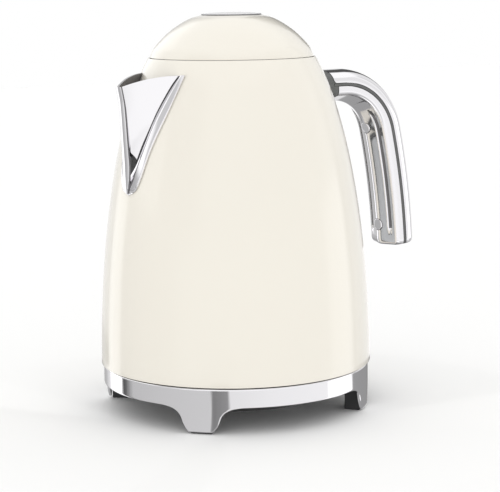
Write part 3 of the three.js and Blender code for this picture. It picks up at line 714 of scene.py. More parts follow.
def bake(piece: Object) -> None:
    """Turns the piece's modifiers into plain mesh.

    Args:
        piece: The piece, which loses its modifiers.
    """
    bpy.context.view_layer.update()
    seen = piece.evaluated_get(bpy.context.evaluated_depsgraph_get())
    mesh = bpy.data.meshes.new_from_object(seen)
    piece.modifiers.clear()
    old = piece.data
    piece.data = mesh
    bpy.data.meshes.remove(old)


def soften(piece: Object, width: float, angle: float = 35.0) -> None:
    """Bevels the piece's edges that are sharper than an angle in degrees.

    Args:
        piece: The piece, changed in place.
        width: The bevel's width.
        angle: Only edges sharper than this many degrees are bevelled.
    """
    if width <= 0:
        return
    bevel = piece.modifiers.new("bevel", "BEVEL")
    bevel.width = width
    bevel.segments = 3
    bevel.limit_method = "ANGLE"
    bevel.angle_limit = math.radians(angle)
    bevel.use_clamp_overlap = True
    bake(piece)


def combine(piece: Object, others: Iterable[Object], operation: str) -> None:
    """Joins or cuts a piece with others, which are used up.

    Args:
        piece: The piece, changed in place.
        others: What it is combined with.
        operation: UNION or DIFFERENCE.
    """
    tools = list(others)
    for tool in tools:
        step = piece.modifiers.new("combine", "BOOLEAN")
        step.operation = operation
        step.solver = "EXACT"
        step.object = tool
    bake(piece)
    for tool in tools:
        bpy.data.objects.remove(tool)


def cut(piece: Object, *tools: Object) -> None:
    """Cuts tools out of a piece."""
    combine(piece, tools, "DIFFERENCE")


def outward(piece: Object) -> None:
    """Turns an open wall's faces away from the upright axis.

    Args:
        piece: The piece, changed in place.
    """
    mesh = piece.data
    lean = sum(face.normal.x * face.center.x + face.normal.y * face.center.y for face in mesh.polygons)
    if lean < 0:
        mesh.flip_normals()


def thickened(piece: Object, wall: float) -> None:
    """Gives an open skin a wall on its inner side; the inner side takes material index 1.

    Args:
        piece: The piece, changed in place.
        wall: The wall's thickness.
    """
    for _ in range(2):
        piece.data.materials.append(None)
    step = piece.modifiers.new("wall", "SOLIDIFY")
    step.thickness = wall
    step.offset = -1.0
    step.use_even_offset = True
    step.material_offset = 1
    bake(piece)


def fuse(piece: Object, *parts: Object) -> None:
    """Joins parts to a piece as one solid."""
    combine(piece, parts, "UNION")


def sliced(piece: Object, axis: int, places: Iterable[float]) -> None:
    """Cuts a piece's faces along planes, so that it can be bent afterwards.

    Args:
        piece: The piece, changed in place.
        axis: Axis across the planes, from 0 to 2.
        places: Where the planes stand on it.
    """
    work = bmesh.new()
    work.from_mesh(piece.data)
    normal = Vector((0, 0, 0))
    normal[axis] = 1
    for place in places:
        everything = [*work.verts, *work.edges, *work.faces]
        bmesh.ops.bisect_plane(work, geom=everything, plane_co=normal * place, plane_no=normal)
    work.to_mesh(piece.data)
    work.free()


def rounded_box(half_width: float, low: float, high: float, corner: float) -> list[Point2]:
    """Outline of a box in the YZ plane with rounded corners."""
    corners = [(half_width, low), (half_width, high), (-half_width, high), (-half_width, low)]
    return rounded([(y, z, corner * 1.4) for y, z in corners], steps=8)


def wrapped(
    name: str, outline: Sequence[Point2], low: float, high: float, bearing: float = 0.0,
    bevel: float = 0.3, hole: Sequence[Point2] | None = None,
) -> Object:
    """Makes a plate that follows the jug's side.

    Args:
        name: The piece's name.
        outline: Y and Z pairs of the plate laid flat.
        low: Distance of its back from the jug's side.
        high: Distance of its face from the jug's side.
        bearing: Where its middle is, in degrees from +X.
        bevel: Rounding of its edges.
        hole: Outline of an opening through it.

    Returns:
        The new object.
    """
    plate = upright(name, outline, (low, high))
    if hole:
        cut(plate, upright("hole", hole, (low - 5, high + 5)))
    soften(plate, bevel)
    for axis, places in ((2, [z for _, z in outline]), (1, [y for y, _ in outline])):
        first, last = min(places), max(places)
        steps = max(2, int((last - first) / BEND_STEP))
        sliced(plate, axis, [mix(first, last, i / steps) for i in range(1, steps)])
    turn = Matrix.Rotation(math.radians(bearing), 3, "Z")
    for vertex in plate.data.vertices:
        depth, y, z = vertex.co
        r = FORM.radius_at(z) + depth
        vertex.co = turn @ Vector((math.sqrt(max(r * r - y * y, 0)), y, z))
    return plate


# ------------------------------------------------------------------ geometry node trees


def new_shape_tree(name: str, inputs: dict) -> tuple[Tree, Nodes, Outputs]:
    """Starts a geometry tree that puts out one mesh of one material."""
    inputs = {**inputs, "Finish": "Material"}
    return new_group(name, "GeometryNodeTree", inputs, "Geometry", "Geometry")


def close_shape_tree(nodes: Nodes, shape: Socket, finish: Socket) -> None:
    """Ends a geometry tree: instances made real and the material set.

    Args:
        nodes: The tree's nodes.
        shape: The finished shape.
        finish: The tree's material input.
    """
    real = nodes.out("GeometryNodeRealizeInstances", {"Geometry": shape})
    painted = nodes.out("GeometryNodeSetMaterial", {"Geometry": real, "Material": finish})
    nodes.add("NodeGroupOutput", {"Geometry": painted})


def wall_radius(nodes: Nodes, height: Socket, offset: Socket) -> Socket:
    """Wires the rule of the jug's outline and returns the radius at a height and an offset.

    Args:
        nodes: The tree's nodes.
        height: The height.
        offset: Distance out from the jug's side.

    Returns:
        The radius there.
    """
    above = nodes.math("MAXIMUM", nodes.math("SUBTRACT", height, FORM.curve_start), 0.0)
    rise = nodes.math("DIVIDE", above, FORM.curve_height)
    fall = nodes.math("SUBTRACT", 1.0, nodes.math("POWER", rise, FORM.power))
    radius = nodes.math("MULTIPLY", nodes.math("POWER", fall, 1 / 3), FORM.radius)
    return nodes.math("ADD", radius, offset)


def height_between(nodes: Nodes, given: Outputs, share: Socket) -> Socket:
    """Wires the height that is a share of the way from the input Low to the input High."""
    span = nodes.math("SUBTRACT", given["High"], given["Low"])
    return nodes.math("ADD", given["Low"], nodes.math("MULTIPLY", span, share))


def bent_grid(nodes: Nodes, columns: Socket, rows: Socket, width: float) -> tuple[Socket, Socket, Socket]:
    """Adds a flat grid one high, and gives its mesh and the X and Y of its points.

    Args:
        nodes: The tree's nodes.
        columns: Count of points along X.
        rows: Count of points along Y.
        width: Size along X.

    Returns:
        The grid's mesh, and the X and the Y of its points.
    """
    size = {"Size X": width, "Size Y": 1.0, "Vertices X": columns, "Vertices Y": rows}
    grid = nodes.out("GeometryNodeMeshGrid", size)
    flat = nodes.add("ShaderNodeSeparateXYZ", {"Vector": nodes.out("GeometryNodeInputPosition")})
    return grid, flat.outputs["X"], flat.outputs["Y"]


def set_places(nodes: Nodes, mesh: Socket, x: Socket, y: Socket, z: Socket) -> Socket:
    """Wires new coordinates for a mesh's points."""
    spot = nodes.out("ShaderNodeCombineXYZ", {"X": x, "Y": y, "Z": z})
    return nodes.out("GeometryNodeSetPosition", {"Geometry": mesh, "Position": spot})


def wires_along(nodes: Nodes, curve: Socket, radius: Socket, sides: int) -> Socket:
    """Wires round wires along a curve.

    Args:
        nodes: The tree's nodes.
        curve: What the wires follow.
        radius: The wires' radius.
        sides: Faces round a wire.

    Returns:
        The wires' mesh.
    """
    section = nodes.out("GeometryNodeCurvePrimitiveCircle", {"Resolution": sides, "Radius": radius})
    links = {"Curve": curve, "Profile Curve": section, "Fill Caps": True}
    return nodes.out("GeometryNodeCurveToMesh", links)


def jug_wall_tree() -> Tree:
    """Builds the tree that turns the jug's outline rule into an open wall.

    Returns:
        The tree.
    """
    inputs = {"Low": 29.0, "High": 220.0, "Offset": 0.0, "Steps Round": 192, "Steps Up": 72}
    tree, nodes, given = new_shape_tree("jug_wall", inputs)
    grid, x, y = bent_grid(nodes, given["Steps Round"], given["Steps Up"], 1.0)
    turn = nodes.math("MULTIPLY", nodes.math("ADD", x, 0.5), 2 * math.pi)
    left = nodes.math("MAXIMUM", nodes.math("SUBTRACT", 0.5, y), 0.0)
    height = height_between(nodes, given, nodes.math("SUBTRACT", 1.0, nodes.math("POWER", left, 1.4)))
    radius = wall_radius(nodes, height, given["Offset"])
    east = nodes.math("MULTIPLY", radius, nodes.math("COSINE", turn))
    north = nodes.math("MULTIPLY", radius, nodes.math("SINE", turn))
    bent = set_places(nodes, grid, east, north, height)
    sewn = nodes.out("GeometryNodeMergeByDistance", {"Geometry": bent, "Distance": 0.001})
    close_shape_tree(nodes, sewn, given["Finish"])
    return tree


def sieve_tree() -> Tree:
    """Builds the tree of the filter's crossed wires, bent to the vessel's wall.

    Returns:
        The tree.
    """
    inputs = {
        "Half Width": 12.7, "Low": 160.3, "High": 197.7, "Offset": -6.7, "Wire": 0.16,
        "Wires Across": 20, "Wires Up": 29,
    }
    tree, nodes, given = new_shape_tree("sieve", inputs)
    grid, x, y = bent_grid(nodes, given["Wires Across"], given["Wires Up"], 2.0)
    height = height_between(nodes, given, nodes.math("ADD", y, 0.5))
    across = nodes.math("MULTIPLY", x, given["Half Width"])
    radius = wall_radius(nodes, height, given["Offset"])
    across_squared = nodes.math("MULTIPLY", across, across)
    squares = nodes.math("SUBTRACT", nodes.math("MULTIPLY", radius, radius), across_squared)
    depth = nodes.math("MULTIPLY", nodes.math("SQRT", squares), -1.0)
    wires = nodes.out("GeometryNodeMeshToCurve", {"Mesh": set_places(nodes, grid, depth, across, height)})
    close_shape_tree(nodes, wires_along(nodes, wires, given["Wire"], 5), given["Finish"])
    return tree


def spring_tree() -> Tree:
    """Builds the tree of a coil spring along Z.

    Returns:
        The tree.
    """
    inputs = {"Radius": 2.6, "Wire": 0.5, "Length": 7.6, "Turns": 4.0}
    tree, nodes, given = new_shape_tree("coil_spring", inputs)
    size = {"Start Radius": given["Radius"], "End Radius": given["Radius"], "Height": given["Length"]}
    helix = nodes.out("GeometryNodeCurveSpiral", {"Resolution": 40, "Rotations": given["Turns"], **size})
    close_shape_tree(nodes, wires_along(nodes, helix, given["Wire"], 10), given["Finish"])
    return tree


def ring_of_copies_tree() -> Tree:
    """Builds the tree that sets copies of a piece round a circle, each turned with it.

    Returns:
        The tree.
    """
    inputs = {"Piece": "Object", "Count": 3, "First Bearing": 0.0}
    tree, nodes, given = new_shape_tree("ring_of_copies", inputs)
    points = nodes.out("GeometryNodePoints", {"Count": given["Count"], "Position": (0.0, 0.0, 0.0)})
    shape = nodes.out("GeometryNodeObjectInfo", {"Object": given["Piece"]}, "Geometry")
    number = nodes.out("GeometryNodeInputIndex")
    share = nodes.math("DIVIDE", nodes.math("MULTIPLY", number, 2 * math.pi), given["Count"])
    turn = nodes.out("ShaderNodeCombineXYZ", {"Z": nodes.math("ADD", share, given["First Bearing"])})
    links = {"Points": points, "Instance": shape, "Rotation": turn}
    close_shape_tree(nodes, nodes.out("GeometryNodeInstanceOnPoints", links), given["Finish"])
    return tree


def grown(name: str, tree: Tree, inputs: dict) -> Object:
    """Makes a piece with a geometry tree and turns it into plain mesh.

    Args:
        name: The piece's name.
        tree: The geometry tree.
        inputs: Values of the tree's inputs, by name.

    Returns:
        The new object, without modifiers.
    """
    piece = placed(name, bpy.data.meshes.new(name))
    step = piece.modifiers.new("grow", "NODES")
    step.node_group = tree
    for item in tree.interface.items_tree:
        if item.item_type == "SOCKET" and item.in_out == "INPUT" and item.name in inputs:
            step[item.identifier] = inputs[item.name]
    bake(piece)
    tidy(piece)
    return piece


# ------------------------------------------------------------------ the workshop


@dataclass
class Workshop:
    """Finishes pieces: scale, place, shading, material and body."""

    axis_x: float
    materials: dict[str, Material]
    base_turn: float = -4.0

    def settle(
        self, piece: Object, finish: Finish, body: Body, *replaces: str,
        sharp: float = 38.0, painted_shade_finish: Finish | None = None,
    ) -> None:
        """Puts a finished piece in the part's frame and on its body.

        Args:
            piece: The piece in millimetres about the jug's axis.
            finish: Its finish.
            body: The body that it rides on. Pieces of the base are turned with it.
            replaces: CAD nodes that it stands for.
            sharp: Edges sharper than this many degrees stay sharp.
            painted_shade_finish: Finish of the faces that have material index 1: the darker chrome, painted
                where shade falls.
        """
        mesh = piece.data
        place = Matrix.Translation((self.axis_x, 0, 0)) @ Matrix.Scale(MM, 4)
        turn = math.radians(self.base_turn if body is Body.BASE else 0.0)
        mesh.transform(place @ Matrix.Rotation(turn, 4, "Z"))
        for face in mesh.polygons:
            face.use_smooth = True
        mesh.set_sharp_from_angle(angle=math.radians(sharp))
        chosen = [face.material_index for face in mesh.polygons]
        mesh.materials.clear()
        mesh.materials.append(self.materials[finish.name])
        if painted_shade_finish:
            mesh.materials.append(self.materials[painted_shade_finish.name])
            mesh.polygons.foreach_set("material_index", chosen)
        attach(piece, body.value)
        if replaces:
            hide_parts(*replaces)
        triangles = sum(len(face.vertices) - 2 for face in mesh.polygons)
        LOG.info("%s on %s: %d triangles", piece.name, body.value, triangles)

    def dress(self, nodes: dict[str, Object], finish: Finish, names: Iterable[str]) -> None:
        """Gives CAD nodes that stay in view a finish.

        Args:
            nodes: The CAD nodes by name.
            finish: The finish.
            names: Names of the nodes that take it.
        """
        for name in names:
            node = nodes[name]
            for slot in node.material_slots:
                slot.material = self.materials[finish.name]
            LOG.info("%s keeps its own shape, in %s", name, finish.name)


def thirds(piece: Object) -> Object:
    """Sets three copies of a piece round the upright axis, at 60 degrees and on, and uses it up.

    Args:
        piece: The piece, which is used up.

    Returns:
        One object of the three copies.
    """
    trees = bpy.data.node_groups
    tree = trees.get("ring_of_copies") or ring_of_copies_tree()
    inputs = {"Piece": piece, "Count": 3, "First Bearing": math.radians(60)}
    copies = grown(f"{piece.name}_ring", tree, inputs)
    bpy.data.objects.remove(piece)
    return copies


# ------------------------------------------------------------------ the power base


@dataclass
class PowerBase:
    """Power base: chrome skirt with feet, deck, connector, spool, cover and screws."""

    shop: Workshop
    radius: float = 84.1
    wall: float = 1.8
    top: float = 28.2
    foot_bearings: tuple[float, ...] = (45.0, 135.0, 225.0, 315.0)
    foot_names: tuple[str, ...] = ("handle_left", "spout_left", "spout_right", "handle_right")
    edge: tuple[Point2, ...] = (
        (0, 1.2), (4.5, 1.2), (5.5, 1.8), (6.2, 3.1), (7.4, 5.8), (8.9, 11.0), (10.6, 13.6), (13.4, 15.4),
        (18.0, 16.3), (46.0, 16.3),
    )
    deck_low: float = 24.4
    seat: float = 28.6
    drum_radius: float = 42.0
    drum_wall: float = 2.0
    screw_circle: float = 35.7

    def build(self) -> None:
        """Builds and dresses every piece of the base."""
        base = Body.BASE
        settle = self.shop.settle
        settle(self.skirt(), CHROME, base, "base_skirt", sharp=50)
        settle(self.deck(), BLACK, base, "base_core")
        settle(self.hub(), BLACK, base, "base_connector_hub")
        settle(self.centre_pin(), BRASS, base, "centre_contact")
        band = [(7, 28.8, 0.2), (8, 28.8, 0.2), (8, 37.5, 0.4), (7, 37.5, 0.4)]
        settle(turned("ring_contact_band", band, 64), BRASS, base, "ring_contact")
        settle(self.drum(), BLACK, base, "cord_spool")
        settle(self.cover(), BLACK, base, "base_bottom_cover")
        settle(self.gland(), RUBBER, base, "cord_gland")
        settle(self.screws(), STEEL, base, "base_screw_1", "base_screw_2", "base_screw_3")
        for bearing, name in zip(self.foot_bearings, self.foot_names):
            settle(self.rubber_foot(bearing, name), RUBBER, base, f"rubber_foot_{name}")

    def skirt(self) -> Object:
        """Thin chrome ring whose lower edge is drawn down into four feet.

        Returns:
            The new object.
        """
        side = [2.0, *(4.0 + 0.35 * i for i in range(32)), *(15.5 + 2.1 * i for i in range(14))]
        offsets = sorted({-44.0, 0.0, *side, *(-offset for offset in side)})
        places = [(bearing, offset) for bearing in self.foot_bearings for offset in offsets]
        rings = [self.skirt_section(bearing + offset, abs(offset)) for bearing, offset in places]
        return skin("skirt_with_feet", rings, joined=True)

    def skirt_section(self, bearing: float, away: float) -> list[Vector]:
        """Section of the skirt at a bearing, a number of degrees away from a foot's middle.

        Args:
            bearing: Where the section stands, in degrees from +X.
            away: Degrees from the nearest foot's middle.

        Returns:
            The section's points in order.
        """
        low = read_off(self.edge, away)
        ahead = read_off(self.edge, away + 0.2)
        slope = (ahead - low) / (0.2 * math.radians(1) * self.radius)
        round_low = min(0.8 * math.sqrt(1 + slope * slope), 4.0)
        outer, inner, top = self.radius, self.radius - self.wall, self.top
        section = [
            (inner + 0.3, low), (outer - 0.8, low), (outer - 0.4, low + 0.12 * round_low),
            (outer - 0.12, low + 0.4 * round_low), (outer, low + round_low), (outer, low + round_low + 0.6),
            (outer, top - 1.3), (outer, top - 0.8), (outer - 0.1, top - 0.4), (outer - 0.4, top - 0.1),
            (outer - 0.8, top), (inner + 0.3, top), (inner, top - 0.3), (inner, low + 0.3),
        ]
        return [polar(r, bearing, z) for r, z in section]

    def deck(self) -> Object:
        """Round deck with the raised ring that the jug stands on.

        Returns:
            The new object.
        """
        low, top, seat = self.deck_low, self.deck_low + 2, self.seat
        outline = [
            (0, low, 0), (81.8, low, 0.4), (81.8, top, 0.5), (78, top, 0.5), (77, seat, 0.7), (62, seat, 0.7),
            (61, top, 0.5), (20, top, 0.5), (19, top - 0.4, 0.3), (0, top - 0.4, 0),
        ]
        return turned("base_deck", outline, 192)

    def hub(self) -> Object:
        """Round plug of the base, hollow round its contacts.

        Returns:
            The new object.
        """
        outline = [
            (0, 26.7, 0), (15.5, 26.7, 0.3), (15.5, 28.3, 0.5), (13, 28.3, 0.5), (13, 38.6, 0.9),
            (11.4, 38.6, 0.5), (11.4, 28.5, 0.4), (0, 28.5, 0),
        ]
        return turned("connector_hub", outline, 96)

    def centre_pin(self) -> Object:
        """Round-nosed centre contact."""
        outline = [(0, 28.8, 0), (2.6, 28.8, 0.2), (2.6, 38.4, 1.6), (0, 38.4, 0)]
        return turned("centre_contact_pin", outline, 48, steps=8)

    def drum(self) -> Object:
        """Drum for spare cord, with a screw boss at each third of its inside.

        Returns:
            The new object.
        """
        low, top = 9.9, self.deck_low - GAP
        inner, outer = self.drum_radius - self.drum_wall, self.drum_radius
        outline = [(inner, low, 0.3), (outer, low, 0.3), (outer, top, 0.3), (inner, top, 0.3)]
        drum = turned("cord_drum", outline, 128)
        x = self.screw_circle
        fuse(drum, thirds(rod("boss", (x, 0, low), (x, 0, top), 4.6)))
        bore = rod("bore", (x, 0, low - 1), (x, 0, top + 1), 1.9)
        cut(drum, thirds(bore))
        return drum

    def cover(self) -> Object:
        """Cover under the drum, with a sunk seat for each screw.

        Returns:
            The new object.
        """
        outline = [(0, 8, 0), (58, 8, 0.8), (58, 9.6, 0.4), (0, 9.6, 0)]
        cover = turned("drum_cover", outline, 128)
        outline = [(0, 5, 0), (3.7, 5, 0), (3.7, 9, 0), (2.1, 9, 0), (2.1, 12, 0), (0, 12, 0)]
        seat = turned("seat", outline, 32)
        cut(cover, thirds(moved(seat, self.screw_circle)))
        return cover

    def screws(self) -> Object:
        """The three cross-head screws of the cover.

        Returns:
            One object of the three screws.
        """
        outline = [
            (0, 8.1, 0), (3.2, 8.1, 0.35), (3.2, 8.8, 0.1), (1.5, 8.8, 0.1), (1.5, 25.8, 0.6), (0, 25.8, 0),
        ]
        screw = turned("screw", outline, 32)
        slots = [block("slot", (-a, a), (-b, b), (7.8, 8.5)) for a, b in ((1.8, 0.35), (0.35, 1.8))]
        cut(screw, *slots)
        screws = thirds(moved(screw, self.screw_circle))
        screws.name = "cover_screws"
        return screws

    def gland(self) -> Object:
        """Rubber cord gland in the rim, with its bore.

        Returns:
            The new object.
        """
        gland = block("gland_bush", (73, 81.6), (-5.2, 5.2), (8.4, self.deck_low - GAP), 0.7)
        cut(gland, rod("bore", (70, 0, 13.6), (85, 0, 13.6), 3.4, segments=48))
        return gland

    def rubber_foot(self, bearing: float, name: str) -> Object:
        """Rubber foot that fills a chrome foot and stands a little proud below it.

        Args:
            bearing: Where the foot stands, in degrees from +X.
            name: Last part of its name.

        Returns:
            The new object.
        """
        inner, outer, half = 72.0, 81.8, 4.8
        angles = [bearing + half * (i / 4 - 1) for i in range(9)]
        outline = [(outer, a) for a in angles] + [(inner, a) for a in reversed(angles)]
        levels = [[polar(r, a, z) for r, a in outline] for z in (0.0, self.deck_low - GAP)]
        foot = skin(f"foot_{name}", levels)
        soften(foot, 0.6, angle=50)
        return foot


# ------------------------------------------------------------------ the jug


@dataclass
class Jug:
    """Jug: enamelled shell, steel vessel, heating plate, neck ring, gauge and filter."""

    shop: Workshop
    low: float = 28.9
    high: float = 220.5
    wall: float = 1.2
    gauge_low: float = 62.0
    gauge_high: float = 148.0
    gauge_half: float = 5.5

    def build(self, spout: "Spout") -> None:
        """Builds and dresses every piece of the jug's body.

        Args:
            spout: Gives the shape of the way through to the spout.
        """
        jug = Body.JUG
        settle = self.shop.settle
        settle(self.shell(spout), ENAMEL, jug, "body_shell", sharp=50)
        settle(self.vessel(spout), STEEL, jug, "inner_vessel", sharp=50)
        settle(self.plate(), STEEL, jug, "heating_plate")
        settle(self.bottom_cover(), BLACK, jug, "jug_bottom_cover")
        settle(self.neck_ring(), GREY, jug, "neck_ring", sharp=30)
        settle(self.socket(), BLACK, Body.CONNECTOR, "jug_connector")
        window = wrapped("gauge_pane", self.gauge_outline(0, 3), -7.5, 1.0, bevel=0.4)
        settle(window, CLEAR, jug, "gauge_window")
        hole = self.gauge_outline(0.3, 3.2)
        frame = wrapped("gauge_frame", self.gauge_outline(2.6, 5), 0.8, 1.8, bevel=0.45, hole=hole)
        settle(frame, GREY, jug, "gauge_bezel")
        settle(self.filter_frame(), GREY, Body.FILTER, "filter_frame")
        settle(grown("filter_sieve", sieve_tree(), {}), STEEL, Body.FILTER, "filter_mesh")

    def gauge_outline(self, wider: float, corner: float) -> list[Point2]:
        """Outline of the gauge's window, made wider all round."""
        return rounded_box(self.gauge_half + wider, self.gauge_low - wider, self.gauge_high + wider, corner)

    def shell(self, spout: "Spout") -> Object:
        """Enamelled outer shell with rolled rims and its openings.

        Args:
            spout: Gives the shape of the way through.

        Returns:
            The new object.
        """
        inputs = {"Low": self.low, "High": self.high, "Offset": 0.0, "Steps Round": 257, "Steps Up": 96}
        shell = grown("enamelled_shell", jug_wall_tree(), inputs)
        outward(shell)
        thickened(shell, self.wall)
        soften(shell, 0.2, angle=60)
        cut(shell, spout.passage(161, 201), self.gauge_tool(), self.lever_tool())
        return shell

    def gauge_tool(self) -> Object:
        """What cuts the gauge's opening."""
        return upright("gauge_tool", self.gauge_outline(0.3, 3.2), (62, 95))

    @staticmethod
    def lever_tool() -> Object:
        """What cuts the lever's slot."""
        return block("lever_tool", (70, 96), (-LEVER_HALF, LEVER_HALF), LEVER_ZS)

    def vessel(self, spout: "Spout") -> Object:
        """Open steel tube that follows the shell inside it.

        Args:
            spout: Gives the shape of the way through.

        Returns:
            The new object.
        """
        outer = FORM.wall(43, 208, -4, 40)
        inner = [(r - 1, z) for r, z in reversed(outer)]
        vessel = turned("steel_vessel", [*outer, *inner], 192)
        cut(vessel, spout.passage(164, 199), self.gauge_tool())
        return vessel

    def plate(self) -> Object:
        """Steel plate that closes the vessel below, dished at its rim.

        Returns:
            The new object.
        """
        radius = FORM.radius_at(46) - 5.3
        outline = [
            (0, 44, 0), (radius, 44, 0.3), (radius, 46, 0.6), (radius - 5, 46, 0.6),
            (radius - 6.5, 45.2, 0.8), (24, 45.2, 0.8), (22.5, 45.8, 0.6), (0, 45.8, 0),
        ]
        return turned("heater_plate", outline)

    def bottom_cover(self) -> Object:
        """Black cover that closes the jug below, open for the connector.

        Returns:
            The new object.
        """
        outline = [
            (17.6, 28.9, 0.4), (58, 28.9, 0.3), (58.8, 29.6, 0.4), (80, 29.6, 0.4), (80.8, 28.9, 0.3),
            (83.9, 28.9, 0.6), (83.9, 34, 0.3), (82.4, 34, 0.3), (82.4, 31.2, 0.4), (17.6, 31.2, 0.4),
        ]
        return turned("jug_cover", outline)

    def neck_ring(self) -> Object:
        """Grey ring in the jug's neck, with the hinge's pocket and the latch's groove.

        Returns:
            The new object.
        """
        outline = [
            (43.3, 203.5, 0.5), (52.2, 203.5, 0.5), (52.2, 208.3, 0.2), (53.8, 208.3, 0.3),
            (52.9, 214.6, 0.8), (49.9, 217.4, 0.5), (49.9, 219.8, 0.4), (48.9, 219.8, 0.4),
            (43.3, 214.0, 1.2),
        ]
        ring = turned("neck_collar", outline)
        pocket = block("pocket", (40, 60), (-12.5, 12.5), (208.9, 225))
        groove = block("groove", (-46.4, -40), (-4.8, 4.8), (212, 225))
        bore = cross_rod("bore", HINGE, (-16, 16), 1.8)
        cut(ring, pocket, groove, bore)
        return ring

    @staticmethod
    def socket() -> Object:
        """Round socket under the jug that drops over the base's hub.

        Returns:
            The new object.
        """
        outline = [
            (0, 40.0, 0), (4.0, 40.0, 0.3), (4.0, 30.4, 0.3), (5.6, 30.4, 0.5), (5.6, 40.4, 0.3),
            (13.6, 40.4, 0.3), (13.6, 29.6, 0.6), (16.9, 29.6, 0.6), (16.9, 42.9, 0.6), (0, 42.9, 0),
        ]
        return turned("connector_socket", outline, 96)

    @staticmethod
    def filter_frame() -> Object:
        """Frame of the scale filter, with a finger tab at its top.

        Returns:
            The new object.
        """
        outline = rounded_box(17, 156, 203.2, 2)
        hole = rounded_box(13, 160, 198, 2)
        return wrapped("filter_surround", outline, -7.6, -5.6, bearing=180, bevel=0.4, hole=hole)


# ------------------------------------------------------------------ the spout


